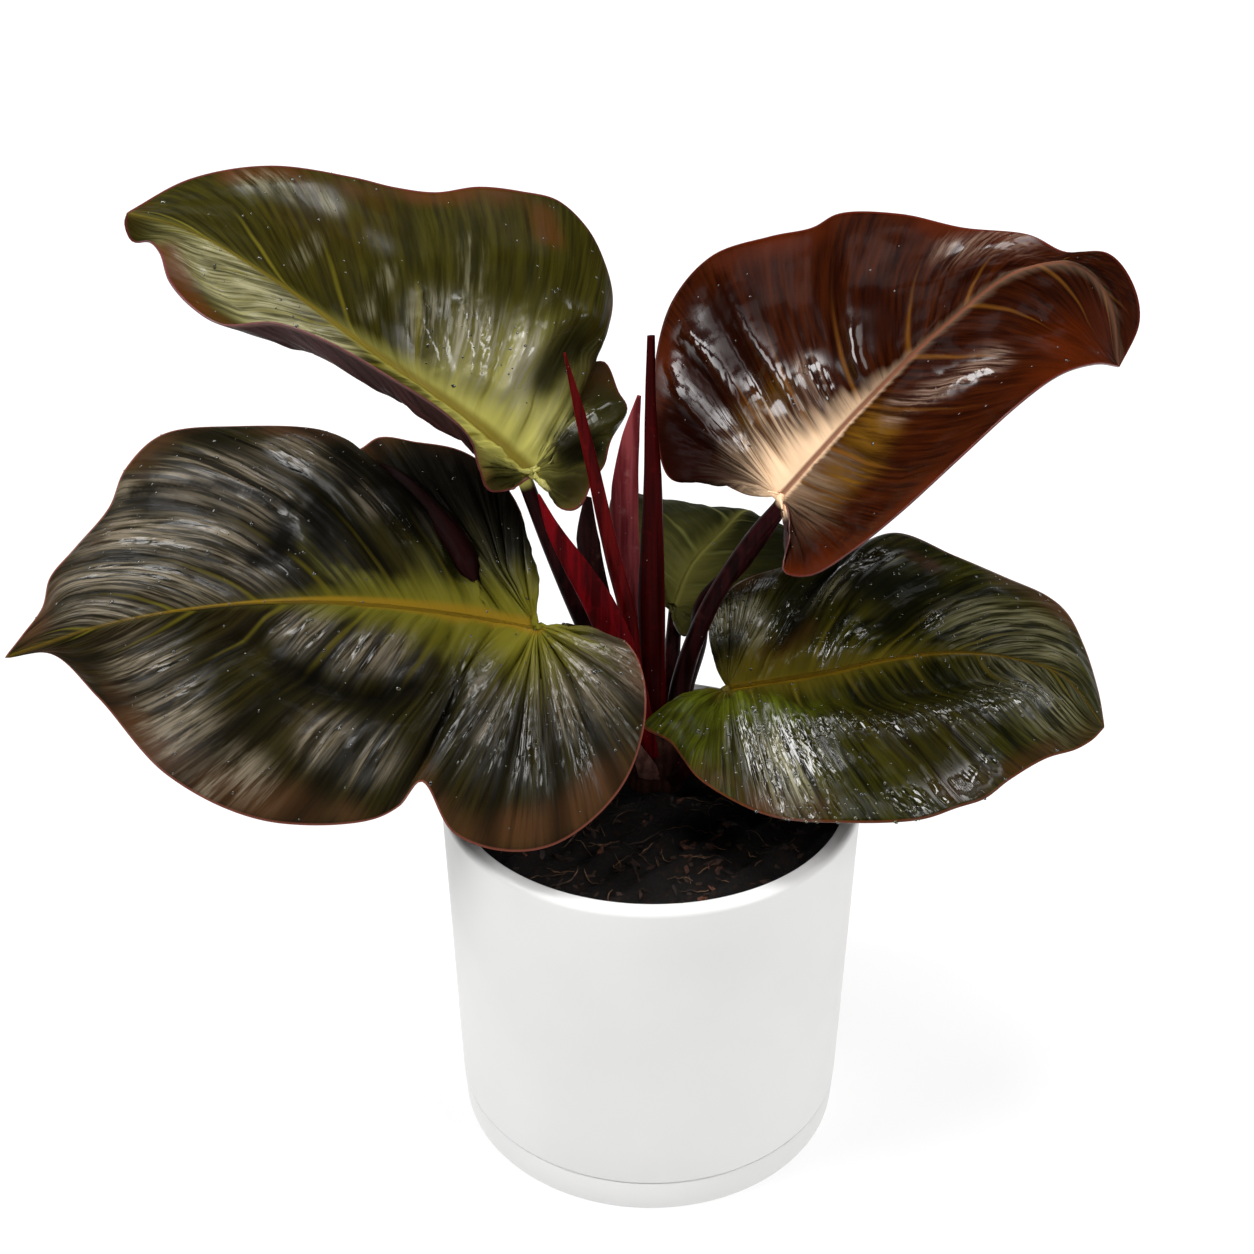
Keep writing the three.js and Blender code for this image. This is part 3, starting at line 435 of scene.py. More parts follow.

# Stretches of a half blade with a tint of their own or painted light: width, strength and a line of (station,
# share) points.
# A stretch takes painted shade, is pale or warm, is wet, takes a painted gray satin sheen, or is glassy.
TINT_AND_PAINTED_LIGHT_KINDS = ("shade", "pale", "warm", "wet", "painted_sheen", "glassy")
TINTS_AND_PAINTED_LIGHT = {
    ("low_left", "left", "shade"): [(4, 0.8, (16.6, 0.34), (15, 0.43), (13.6, 0.46), (12.6, 0.38))],
    ("low_left", "left", "pale"): [(5, 0.6, (16, 0.06), (13.5, 0.08), (12, 0.15))],
    ("low_left", "left", "warm"): [
        (9, 0.8, (20, 0.93), (17, 0.94), (14, 0.94)),
        (8, 0.9, (7.4, 0.92), (6, 0.9), (5, 0.92)),
    ],
    ("low_left", "left", "wet"): [
        (8, 1, (16.5, 0.2), (14.6, 0.25), (13, 0.25)),
        (20, 1, (8.4, 0.5), (6, 0.55), (3.5, 0.5), (2.5, 0.7)),
        (8, 1, (10.3, 0.3), (9.8, 0.6)),
        (10, 0.7, (14, 0.66), (12.6, 0.7)),
        (14, 0.6, (19, 0.5), (18, 0.8)),
    ],
    ("low_left", "left", "painted_sheen"): [
        (9, 0.75, (18.3, 0.75), (16.8, 0.82), (15.6, 0.86)),
        (14, 0.85, (20, 0.5), (18.7, 0.7), (17, 0.88)),
        (9, 0.8, (14.2, 0.66), (12.8, 0.7)),
        (8, 0.65, (16.4, 0.14), (14.8, 0.22), (13.4, 0.24)),
        (14, 0.6, (5, 0.45), (3, 0.6)),
        (6, 0.5, (9.6, 0.45), (9, 0.6)),
    ],
    ("low_left", "right", "shade"): [
        (24, 0.95, (9.6, 0.72), (7, 0.75), (4, 0.8)),
        (4, 0.97, (17.2, 0.2), (16.8, 0.21)),
        (7, 1, (16.4, 0.25), (16.1, 0.3)),
        (6.5, 0.97, (15.2, 0.26), (15, 0.38)),
        (2.6, 0.9, (18.2, 0.88), (17.3, 0.7), (16.7, 0.6), (16.1, 0.5), (15.5, 0.41)),
        (6, 0.85, (13.3, 0.55), (12.8, 0.75)),
    ],
    ("low_left", "right", "pale"): [
        (14, 1, (11.6, 0.14), (10.2, 0.3)),
        (3, 0.7, (15.8, 0.28), (15.6, 0.12), (13.5, 0.06)),
    ],
    ("low_left", "right", "warm"): [
        (8, 0.8, (13.2, 0.97), (12.4, 0.9)),
        (4, 0.6, (17.5, 0.98), (15.5, 0.97)),
    ],
    ("low_left", "right", "wet"): [
        (30, 0.6, (16.4, 0.3), (18, 0.55), (20, 0.6)),
        (9, 1, (14.8, 0.62), (14, 0.78)),
        (4, 1, (12.9, 0.3), (12.6, 0.5)),
        (4, 1, (12, 0.2), (11.8, 0.4)),
        (8, 0.8, (9.5, 0.3), (7, 0.35), (4, 0.4)),
    ],
    ("low_left", "right", "painted_sheen"): [
        (23, 0.78, (17.5, 0.36), (19, 0.45), (20.6, 0.5)),
        (5, 0.6, (11.8, 0.42), (10.8, 0.46), (9.6, 0.4)),
        (3, 0.6, (10.2, 0.6), (10, 0.5)),
        (4, 0.4, (8, 0.35), (7, 0.5)),
        (14, 1, (17.2, 0.7), (15.8, 0.6), (14.4, 0.7)),
        (6, 0.8, (16.6, 0.42), (15.6, 0.5)),
        (10, 0.85, (19.6, 0.76), (18.6, 0.9)),
        (5, 0.6, (13.4, 0.85), (13.2, 0.4)),
    ],
    ("high_left", "left", "shade"): [(8, 0.7, (5, 0.7), (2.5, 0.7))],
    # On the olive blade this pale stretch is partly pale colour and partly a painted silver sheen
    ("high_left", "left", "pale"): [(10, 0.8, (22.5, 0.25), (19.5, 0.4), (17, 0.3))],
    ("high_left", "left", "warm"): [(5, 0.9, (22, 0.85), (20.5, 0.9), (19.3, 0.95))],
    ("high_left", "left", "wet"): [(12, 0.6, (21.5, 0.3), (18, 0.3))],
    ("high_left", "left", "painted_sheen"): [(9, 0.35, (21.8, 0.3), (19.5, 0.25), (17.5, 0.2))],
    ("high_left", "right", "shade"): [
        (8, 0.9, (10.8, 0.35), (10, 0.6)),
        (8, 0.95, (4.8, 0.35), (4.2, 0.55), (3.6, 0.8)),
        (13, 0.75, (8, 0.85), (6.6, 0.7), (5.4, 0.8)),
        (9, 0.85, (1.2, 0.5), (2.6, 0.7)),
    ],
    # On the olive blade this pale stretch is partly pale colour and partly a painted silver sheen
    ("high_left", "right", "pale"): [(12, 0.6, (13.6, 0.1), (12.3, 0.2), (10, 0.2))],
    ("high_left", "right", "warm"): [
        (6, 0.7, (6.6, 0.7), (6.2, 0.9)),
        (6, 0.8, (21, 0.93), (19.5, 0.93)),
        (6, 0.7, (12.8, 0.9), (12.6, 0.82)),
        (5, 0.7, (16.5, 0.97), (15, 0.97)),
    ],
    ("high_left", "right", "wet"): [
        (14, 1, (15, 0.25), (13.6, 0.25), (12.3, 0.28)),
        (8, 0.5, (20.6, 0.85), (18.8, 0.74)),
        (5, 0.4, (17.5, 0.62), (17.3, 0.58)),
        (8, 1, (12, 0.35), (11.4, 0.55)),
        (6, 1, (5, 0.4), (4.8, 0.85)),
    ],
    ("high_left", "right", "painted_sheen"): [
        (6, 0.25, (20.6, 0.85), (18.8, 0.74)),
        (3, 0.15, (19.5, 0.2), (19, 0.45)),
        (3, 0.2, (17.2, 0.15), (17, 0.45)),
        (4, 0.2, (14.6, 0.5), (14.9, 0.7)),
        (13, 0.7, (15, 0.24), (13.6, 0.26), (12.4, 0.28)),
    ],
    ("high_left", "right", "glassy"): [(2.5, 0.9, (5.4, 0.35), (5.1, 0.8))],
    ("high_right", "left", "shade"): [
        (20, 0.95, (4.8, 0.8), (3, 0.7)),
        (9, 0.75, (10, 0.75), (10.2, 0.5)),
        (7, 0.7, (8.1, 0.7), (8.4, 0.5)),
        (7, 0.6, (15, 0.25), (14.9, 0.5)),
        (9, 0.8, (1.5, 0.6), (3.5, 0.4)),
    ],
    ("high_right", "left", "pale"): [(6, 0.4, (9.6, 0.3), (11.4, 0.3))],
    ("high_right", "left", "warm"): [(8, 0.8, (7.5, 0.95), (6, 0.95))],
    ("high_right", "left", "wet"): [
        (8, 1, (9.5, 0.75), (10.8, 0.4), (11.7, 0.2)),
        (7, 1, (8.6, 0.8), (9.4, 0.5)),
        (9, 1, (6.9, 0.85), (6.7, 0.5), (8, 0.3)),
        (6, 1, (12.8, 0.15), (12.7, 0.3)),
        (6, 1, (14.1, 0.15), (14.4, 0.35)),
        (7, 0.6, (17.4, 0.75), (18.6, 0.95)),
    ],
    ("high_right", "left", "painted_sheen"): [
        (7, 0.5, (17, 0.75), (18.6, 0.9)),
        (5, 0.6, (12.6, 0.15), (12.4, 0.35)),
    ],
    ("high_right", "right", "shade"): [(10, 0.6, (5.5, 0.65), (3.5, 0.6))],
    ("high_right", "right", "pale"): [(11, 0.75, (13.3, 0.2), (11.2, 0.28))],
    ("high_right", "right", "warm"): [
        (12, 0.3, (6.5, 0.75), (4.5, 0.8)),
        (12, 0.8, (22, 0.5), (20, 0.8)),
    ],
    ("high_right", "right", "wet"): [(6, 0.9, (15.5, 0.3), (17, 0.5))],
    ("high_right", "right", "painted_sheen"): [(5, 0.8, (14.2, 0.2), (15.8, 0.36), (17.6, 0.5))],
    ("low_right", "left", "shade"): [
        (11, 0.97, (14.3, 0.55), (15.6, 0.7)),
        (7, 0.9, (15.6, 0.3), (15.8, 0.5)),
        (9, 0.85, (12, 0.85), (11, 0.6), (11.3, 0.4)),
        (8, 0.8, (2.5, 0.6), (5, 0.4)),
    ],
    ("low_right", "left", "warm"): [
        (4, 1, (15.2, 0.85), (14.5, 0.84)),
        (6, 0.6, (11, 0.15), (12.4, 0.25)),
    ],
    ("low_right", "left", "wet"): [
        (6, 1, (4.6, 0.92), (5.8, 0.8)),
        (4, 1, (10.4, 0.3), (10.8, 0.5)),
        (5, 1, (11.6, 0.52), (12, 0.6)),
        (7, 1, (12.6, 0.45), (13.6, 0.75)),
        (6, 1, (13.4, 0.14), (14.6, 0.2)),
        (4, 1, (17, 0.25), (16.8, 0.32)),
    ],
    ("low_right", "left", "painted_sheen"): [
        (15, 0.5, (18.5, 0.3), (20.5, 0.5)),
        (6, 0.6, (13.2, 0.5), (14.4, 0.75)),
        (7, 1, (7, 0.6), (8.4, 0.36)),
        (5, 0.8, (5, 0.75), (6, 0.6)),
        (4, 0.8, (11.8, 0.42), (12.6, 0.5)),
    ],
    ("low_right", "left", "glassy"): [
        (7, 1, (4.6, 0.7), (6.6, 0.6), (8.3, 0.4)),
        (5, 0.8, (6.5, 0.9), (8.4, 0.75)),
        (5, 0.9, (11.8, 0.42), (12.6, 0.5)),
    ],
    ("low_right", "right", "shade"): [(7, 0.5, (15, 0.26), (18, 0.24))],
    ("low_right", "right", "pale"): [
        (9, 0.85, (3, 0.6), (6, 0.5), (9, 0.3), (12.6, 0.34)),
        (9, 0.5, (4, 0.8), (7, 0.8)),
    ],
    ("low_right", "right", "warm"): [(5, 0.6, (19, 0.96), (21, 0.96))],
    ("low_right", "right", "wet"): [
        (9, 1, (10.3, 0.46), (10.7, 0.75), (11, 0.95)),
        (11, 1, (11.4, 0.5), (12.3, 0.75)),
        (5, 1, (12, 0.47), (14, 0.49), (16, 0.52), (18, 0.49), (19.5, 0.42), (21, 0.4)),
        (5, 0.8, (12.5, 0.9), (14.5, 0.92), (16.5, 0.92), (18.5, 0.86)),
        (7, 0.6, (19, 0.46), (20.4, 0.5)),
    ],
    ("low_right", "right", "painted_sheen"): [
        (13, 0.5, (20, 0.2), (21.5, 0.5)),
        (8, 0.6, (10.8, 0.6), (11.3, 0.85)),
    ],
    ("back", "right", "shade"): [(16, 0.6, (12, 0.7), (15, 0.7))],
}


class Curve:
    """A centripetal Catmull-Rom curve through points. Its parameter t runs from 0 to 1."""

    def __init__(self, points):
        self.points = np.array(points, float)
        self.samples = np.linspace(0, 1, CURVE_SAMPLES + 1)
        steps = np.linalg.norm(np.diff(self.point(self.samples), axis=0), axis=1)
        self.lengths = np.concatenate([[0], np.cumsum(steps)])

    def point(self, t):
        p = self.points
        place = np.clip(t, 0, 1) * (len(p) - 1)
        i = np.minimum(place.astype(int), len(p) - 2)
        w = (place - i)[:, None]
        padded = np.vstack([2 * p[0] - p[1], p, 2 * p[-1] - p[-2]])
        a, b, c, d = (padded[i + k] for k in range(4))
        before, here, after = (
            np.linalg.norm(q - r, axis=1, keepdims=True) ** 0.5 for q, r in ((b, a), (c, b), (d, c))
        )
        start = ((b - a) / before - (c - a) / (before + here) + (c - b) / here) * here
        end = ((c - b) / here - (d - b) / (here + after) + (d - c) / after) * here
        cubic = (2 * b - 2 * c + start + end) * w**3
        square = (-3 * b + 3 * c - 2 * start - end) * w**2
        return cubic + square + start * w + b

    def ahead(self, t, step):
        """The direction of the curve, from a small step before t to one after it."""
        return unit(self.point(np.minimum(t + step, 1)) - self.point(np.maximum(t - step, 0)))

    def parameter(self, share):
        """The parameter at a share of the length."""
        return np.interp(share * self.lengths[-1], self.lengths, self.samples)


def unit(v):
    return v / np.maximum(np.linalg.norm(v, axis=-1, keepdims=True), 1e-12)


def smooth_step(low, high, x):
    t = np.clip((x - low) / (high - low), 0, 1)
    return t * t * (3 - 2 * t)


def leaf_axes(aim):
    """Rows: towards the tip, to the left and up."""
    heading, pitch, roll = (math.radians(angle) for angle in aim)
    tip = np.array([
        math.cos(heading) * math.cos(pitch),
        math.sin(heading) * math.cos(pitch),
        math.sin(pitch),
    ])
    level = np.array([-math.sin(heading), math.cos(heading), 0])
    left = level * math.cos(roll) + np.cross(tip, level) * math.sin(roll)
    return np.array([tip, left, np.cross(tip, left)])


def past_lobe(station):
    """Nothing in the basal lobe, then the share of the way on to the tip."""
    return np.clip((station - LOBE_STEPS) / (MARGIN_STEPS - LOBE_STEPS), 0, 1)


def half_blade(leaf, side):
    """Half a blade in its leaf's frame, with a row for each station and a column for each share, and its
    width at each station."""
    midrib = Curve([[0, 0, 0], *leaf["midrib"], leaf["tip"]])
    margin = Curve([[0, 0, 0], *leaf[side], leaf["tip"]])
    past = past_lobe(STATIONS)
    lobe = leaf["lobe"][side]
    along = np.where(STATIONS < LOBE_STEPS, lobe * STATIONS / LOBE_STEPS, lobe + (1 - lobe) * past)
    along = margin.parameter(along)
    root = midrib.point(midrib.parameter(past**ROOT_POWER))
    edge = margin.point(along)
    vein = edge - root
    length = np.linalg.norm(vein, axis=1, keepdims=True)
    normal = np.cross(margin.ahead(along, 1e-4), unit(vein)) * (1 if side == "left" else -1)
    normal[:, 2] += UPWARD_PULL
    bend = (root + edge) / 2 + unit(normal) * 2 * leaf["bulge"][side] * length
    bend[:, 0] -= 2 * VEIN_SWEEP * length[:, 0] * np.minimum(1, past * 4)
    t = SHARES[None, :, None]
    return root[:, None] * (1 - t) ** 2 + bend[:, None] * 2 * t * (1 - t) + edge[:, None] * t**2, length


def vein_phase(name, side):
    """Counts the main side veins from the notch: a whole number is on a vein, and veins sweep to the tip."""
    lobe, beyond, start, end, power = VEINS[name][side]
    root = np.linspace(-3, MARGIN_STEPS, 300)
    sweep = start + (end - start) * smooth_step(10, 17, root)
    root = np.stack([np.interp(STATIONS, root + sweep * t**power, root) for t in SHARES], axis=1)
    return np.where(root < LOBE_STEPS, lobe * root / LOBE_STEPS, lobe + beyond * past_lobe(root) ** 0.85)


def distance_to_line(grid, line):
    """How far each point of a half blade's grid lies from a line of (station, share) points."""
    knots = np.array(line, float)
    steps = np.linspace(0, len(knots) - 1, 12 * len(knots))
    station, share = (np.interp(steps, np.arange(len(knots)), knots[:, k]) for k in range(2))
    row = np.rint(station / MARGIN_STEPS * FINE_ALONG).astype(int)
    column = np.rint(share * FINE_ACROSS).astype(int)
    away = np.full(grid.shape[:2], np.inf)
    for point in grid[row, column]:
        away = np.minimum(away, np.linalg.norm(grid - point, axis=2))
    return away


def relief(name, side, grid, phase):
    """How far the surface stands off the plain one: pleats and creases between the veins, puckers, wrinkles
    and folds, which all settle at the joint, the midrib, the margin and the tip."""
    look = LOOKS[name]
    seed = len(name) + len(side)
    i, t = STATIONS[:, None], SHARES[None, :]
    reach = np.linalg.norm(grid, axis=2)
    wobble = phase + 0.16 * np.sin(3.1 * t + 1.7 * i + seed)
    pleats = np.abs(np.sin(np.pi * wobble)) ** 0.7 - 0.55
    creases = 0.35 * (np.abs(np.sin(3 * np.pi * wobble + seed)) - 0.6)
    lobe = look["lobe_pleat"][SIDES.index(side)]
    fade = np.exp(-((reach / look["pleat_reach"]) ** 2)) + look["pleat_far"]
    fade = fade * (lobe + (1 - lobe) * smooth_step(8, 11, i))
    puckers = 0.6 * np.sin(2.3 * phase + 6 * t + seed) * np.sin(9 * t - 1.3 * phase + 2 * seed)
    wrinkles = 0.25 * np.sin(7.3 * phase + 11 * t) * np.sin(23 * t - 3.7 * phase + seed)
    height = look["pleat"] * fade * (pleats + creases) + puckers + wrinkles
    for rise, width, power, *line in FOLDS.get((name, side), ()):
        height += rise * np.exp(-((distance_to_line(grid, line) / width) ** power))
    settled = smooth_step(1, 14, reach) * smooth_step(0, 0.1, t)
    return height * settled * (1 - t**5) * (1 - smooth_step(21, 24, i))


def tint_and_painted_light_maps(name, side, grid):
    """How strongly each point takes each of the tints, painted shade and painted sheen among them."""
    tints = np.zeros((*grid.shape[:2], len(TINT_AND_PAINTED_LIGHT_KINDS)))
    for column, kind in enumerate(TINT_AND_PAINTED_LIGHT_KINDS):
        for width, strength, *line in TINTS_AND_PAINTED_LIGHT.get((name, side, kind), ()):
            cover = strength * np.exp(-((distance_to_line(grid, line) / width) ** 3))
            tints[..., column] = np.maximum(tints[..., column], cover)
    return tints


def vertex_normals(points, triangles):
    a, b, c = (points[triangles[:, k]] for k in range(3))
    flat = np.cross(b - a, c - a)
    normals = np.zeros_like(points)
    for k in range(3):
        np.add.at(normals, triangles[:, k], flat)
    return unit(normals)


def triangles_of(quads):
    """Quads cut in two, with triangles that fell flat left out."""
    cut = np.concatenate([quads[:, [0, 1, 2]], quads[:, [0, 2, 3]]])
    a, b, c = cut.T
    return cut[(a != b) & (b != c) & (c != a)]


def grid_quads(number):
    """Quads between neighbours of a grid of point numbers."""
    corners = [number[:-1, :-1], number[1:, :-1], number[1:, 1:], number[:-1, 1:]]
    return np.stack([corner.ravel() for corner in corners], axis=1)


def ring_numbers(rings, sides):
    """Point numbers of rings of points, each ring closed with its first point."""
    number = np.arange(rings * sides).reshape(rings, sides)
    return np.hstack([number, number[:, :1]])


def cone(ring, top):
    """Triangles from a closed ring of point numbers to a top point on the side that it turns round."""
    return np.stack([np.full(len(ring) - 1, top), ring[:-1], ring[1:]], axis=1)


def fan(ring):
    """Triangles that close a ring of point numbers from its first point."""
    return np.stack([np.full(len(ring) - 3, ring[0]), ring[1:-2], ring[2:-1]], axis=1)


def make_mesh(name, points, faces, materials, slots=None, values=None, smooth=True):
    """A piece from points in millimetres, with its materials, a slot for each face and named point values."""
    mesh = bpy.data.meshes.new(name)
    for material in materials:
        mesh.materials.append(material)
    count, corners = faces.shape
    mesh.vertices.add(len(points))
    mesh.vertices.foreach_set("co", (points * MM).astype(np.float32).ravel())
    mesh.loops.add(count * corners)
    mesh.loops.foreach_set("vertex_index", faces.astype(np.int32).ravel())
    mesh.polygons.add(count)
    mesh.polygons.foreach_set("loop_start", np.arange(count, dtype=np.int32) * corners)
    mesh.polygons.foreach_set("use_smooth", np.full(count, smooth))
    if slots is not None:
        mesh.polygons.foreach_set("material_index", slots.astype(np.int32))
    mesh.update(calc_edges=True)
    for label, rows in (values or {}).items():
        layer = mesh.attributes.new(label, "FLOAT_VECTOR", "POINT")
        layer.data.foreach_set("vector", rows.astype(np.float32).ravel())
    mesh.validate()
    piece = bpy.data.objects.new(name, mesh)
    bpy.context.scene.collection.objects.link(piece)
    return piece


def scattered(name, bodies, faces, material, smooth=True):
    """One piece of many small bodies that have the same faces."""
    starts = np.arange(len(bodies))[:, None, None] * len(bodies[0])
    return make_mesh(name, np.concatenate(bodies), (faces + starts).reshape(-1, 3), [material], smooth=smooth)


def point_key(side, i, j):
    """Names a point of a half blade. Both halves have the joint, the midrib and the tip in common."""
    if i == FINE_ALONG:
        return "tip"
    if i == 0 or (j == 0 and STATIONS[i] <= LOBE_STEPS):
        return "joint"
    return ("midrib", i) if j == 0 else (side, i, j)


def fine_blade(name):
    """The sheet of a blade: its points, triangles and margin edges, and the values its material reads."""
    leaf = LEAVES[name]
    shared = {"joint": 0, "tip": 1}
    numbers, rows, faces, rim = [], [], [], []
    for side in SIDES:
        grid, length = half_blade(leaf, side)
        phase = vein_phase(name, side)
        columns = [
            relief(name, side, grid, phase),
            phase,
            np.broadcast_to(SHARES, phase.shape),
            np.full(phase.shape, float(SIDES.index(side))),
            (1 - SHARES) * length,
            SHARES * length,
            np.linalg.norm(grid, axis=2),
        ]
        rows.append(np.concatenate([grid, np.stack(columns, axis=2), tint_and_painted_light_maps(name, side, grid)], axis=2))
        number = np.zeros(phase.shape, int)
        for i, j in np.ndindex(number.shape):
            number[i, j] = shared.setdefault(point_key(side, i, j), len(shared))
        numbers.append(number)
        outward = 1 if side == "left" else -1
        faces.append(grid_quads(number)[:, ::outward])
        rim.append(np.stack([number[:-1, -1], number[1:, -1]], axis=1)[:, ::outward])
    values = np.zeros((len(shared), rows[0].shape[2]))
    for number, row in zip(numbers, rows):
        values[number] = row
    sheet, lift, *maps = np.split(values, [3, 4, 7, 10, 13], axis=1)
    triangles = triangles_of(np.concatenate(faces))
    margin = np.concatenate(rim)
    margin = margin[margin[:, 0] != margin[:, 1]]
    sheet = sheet + vertex_normals(sheet, triangles) * lift
    sheet = sheet @ leaf_axes(leaf["aim"]) + np.array(leaf["joint"], float)
    return sheet, triangles, margin, dict(zip(("vein_map", "reach_map", "painted_shade_and_tint_map", "wet_and_painted_sheen_map"), maps))


def blade(name):
    """A blade with an upper face, a lower face with its midrib, and a margin, and what its drops lie on."""
    look = LOOKS[name]
    sheet, triangles, margin, maps = fine_blade(name)
    normals = vertex_normals(sheet, triangles)
    rib, joint_distance = maps["reach_map"][:, 1:].T
    rib_width = MIDRIB_WIDTHS[0] + (MIDRIB_WIDTHS[1] - MIDRIB_WIDTHS[0]) * np.exp(-joint_distance / 70)
    rib_height = MIDRIB_DEPTH * np.exp(-((rib / rib_width) ** 2)) * np.exp(-joint_distance / 120)
    count = len(sheet)
    above = sheet + normals * (BLADE_HALF - 0.35 * rib_height)[:, None]
    below = sheet - normals * (BLADE_HALF + rib_height)[:, None]
    walls = triangles_of(np.hstack([margin, margin[:, ::-1] + count]))
    faces = np.concatenate([triangles, triangles[:, ::-1] + count, walls])
    slots = np.repeat([0, 1, 2], [len(triangles), len(triangles), len(walls)])
    values = {label: np.concatenate([rows, rows]) for label, rows in maps.items()}
    skins = [
        upper_material("upper_" + name, look, name),
        lower_material("lower_" + name, look),
        margin_material("margin_" + name, look),
    ]
    piece = make_mesh("leaf_" + name, np.concatenate([above, below]), faces, skins, slots, values)
    return piece, (above, triangles, normals, maps["wet_and_painted_sheen_map"][:, 0])


class Nodes:
    """A short way to write a material's node tree. Its colour is painted on in layers."""

    def __init__(self, name):
        self.material = bpy.data.materials.new(name)
        self.material.use_nodes = True
        self.tree = self.material.node_tree
        self.shader = self.tree.nodes["Principled BSDF"]
        self.color = None

    def add(self, kind, inputs, **settings):
        """The outputs of a new node of this kind, with its settings made and its inputs linked or set."""
        node = self.tree.nodes.new("ShaderNode" + kind)
        for key, value in settings.items():
            setattr(node, key, value)
        for key, value in inputs.items():
            self.link(value, node.inputs[key])
        return node.outputs

    def link(self, value, socket):
        if isinstance(value, bpy.types.NodeSocket):
            self.tree.links.new(value, socket)
        elif isinstance(value, tuple) and len(value) == 3 and socket.type == "RGBA":
            socket.default_value = (*value, 1.0)
        else:
            socket.default_value = value

    def math(self, operation, a, b=0.0, clamp=False):
        return self.add("Math", {0: a, 1: b}, operation=operation, use_clamp=clamp)[0]

    def times(self, a, b, *others, clamp=False):
        """All the factors multiplied. Clamp keeps the product between nothing and one."""
        if others:
            return self.times(self.math("MULTIPLY", a, b), *others, clamp=clamp)
        return self.math("MULTIPLY", a, b, clamp)

    def less(self, a, b):
        return self.math("SUBTRACT", a, b)

    def step(self, value, low, high, start=0.0, end=1.0):
        """Start below low, end above high, and a smooth passage between them."""
        inputs = dict(enumerate((value, low, high, start, end)))
        return self.add("MapRange", inputs, interpolation_type="SMOOTHSTEP")[0]

    def vary(self, noise, start=0.0, end=1.0):
        """From start to end over the middle of a noise."""
        return self.step(noise, 0.3, 0.7, start, end)

    def near_whole(self, value, width):
        """One where value is near a whole number, falling to nothing at width away."""
        shifted = self.math("FRACT", self.math("ADD", value, 0.5))
        return self.step(self.math("ABSOLUTE", self.less(shifted, 0.5)), 0.0, width, 1.0, 0.0)

    def mix(self, factor, a, b):
        return self.add("Mix", {0: factor, 6: a, 7: b}, data_type="RGBA")[2]

    def paint(self, factor, tone):
        """A layer of another tone over the colour so far."""
        self.color = self.mix(factor, self.color, tone)

    def vector(self, x, y, z=0.0):
        return self.add("CombineXYZ", {0: x, 1: y, 2: z})[0]

    def parts(self, vector):
        return self.add("SeparateXYZ", {0: vector})[:]

    def values(self, label):
        """The three values that the mesh holds at each point under this label."""
        return self.parts(self.add("Attribute", {}, attribute_name=label)["Vector"])

    def place(self):
        """The point in the part's frame, in metres."""
        return self.add("TexCoord", {})["Object"]

    def noise(self, vector, scale, detail=4.0, roughness=0.5):
        inputs = {"Vector": vector, "Scale": scale, "Detail": detail, "Roughness": roughness}
        return self.add("TexNoise", inputs)[0]

    def cells(self, vector, scale):
        return self.add("TexVoronoi", {"Vector": vector, "Scale": scale})["Distance"]

    def bumps(self, *layers):
        """Bumps one on another, each with its height, its strength and its depth in metres."""
        normal = None
        for height, strength, depth in layers:
            inputs = {"Height": height, "Strength": strength, "Distance": depth}
            if normal:
                inputs["Normal"] = normal
            normal = self.add("Bump", inputs)[0]
        return normal

    def finish(self, sockets):
        """Sets the shader's colour and these other sockets, and gives the material."""
        for name, value in {"Base Color": self.color, **sockets}.items():
            self.link(value, self.shader.inputs[name])
        return self.material


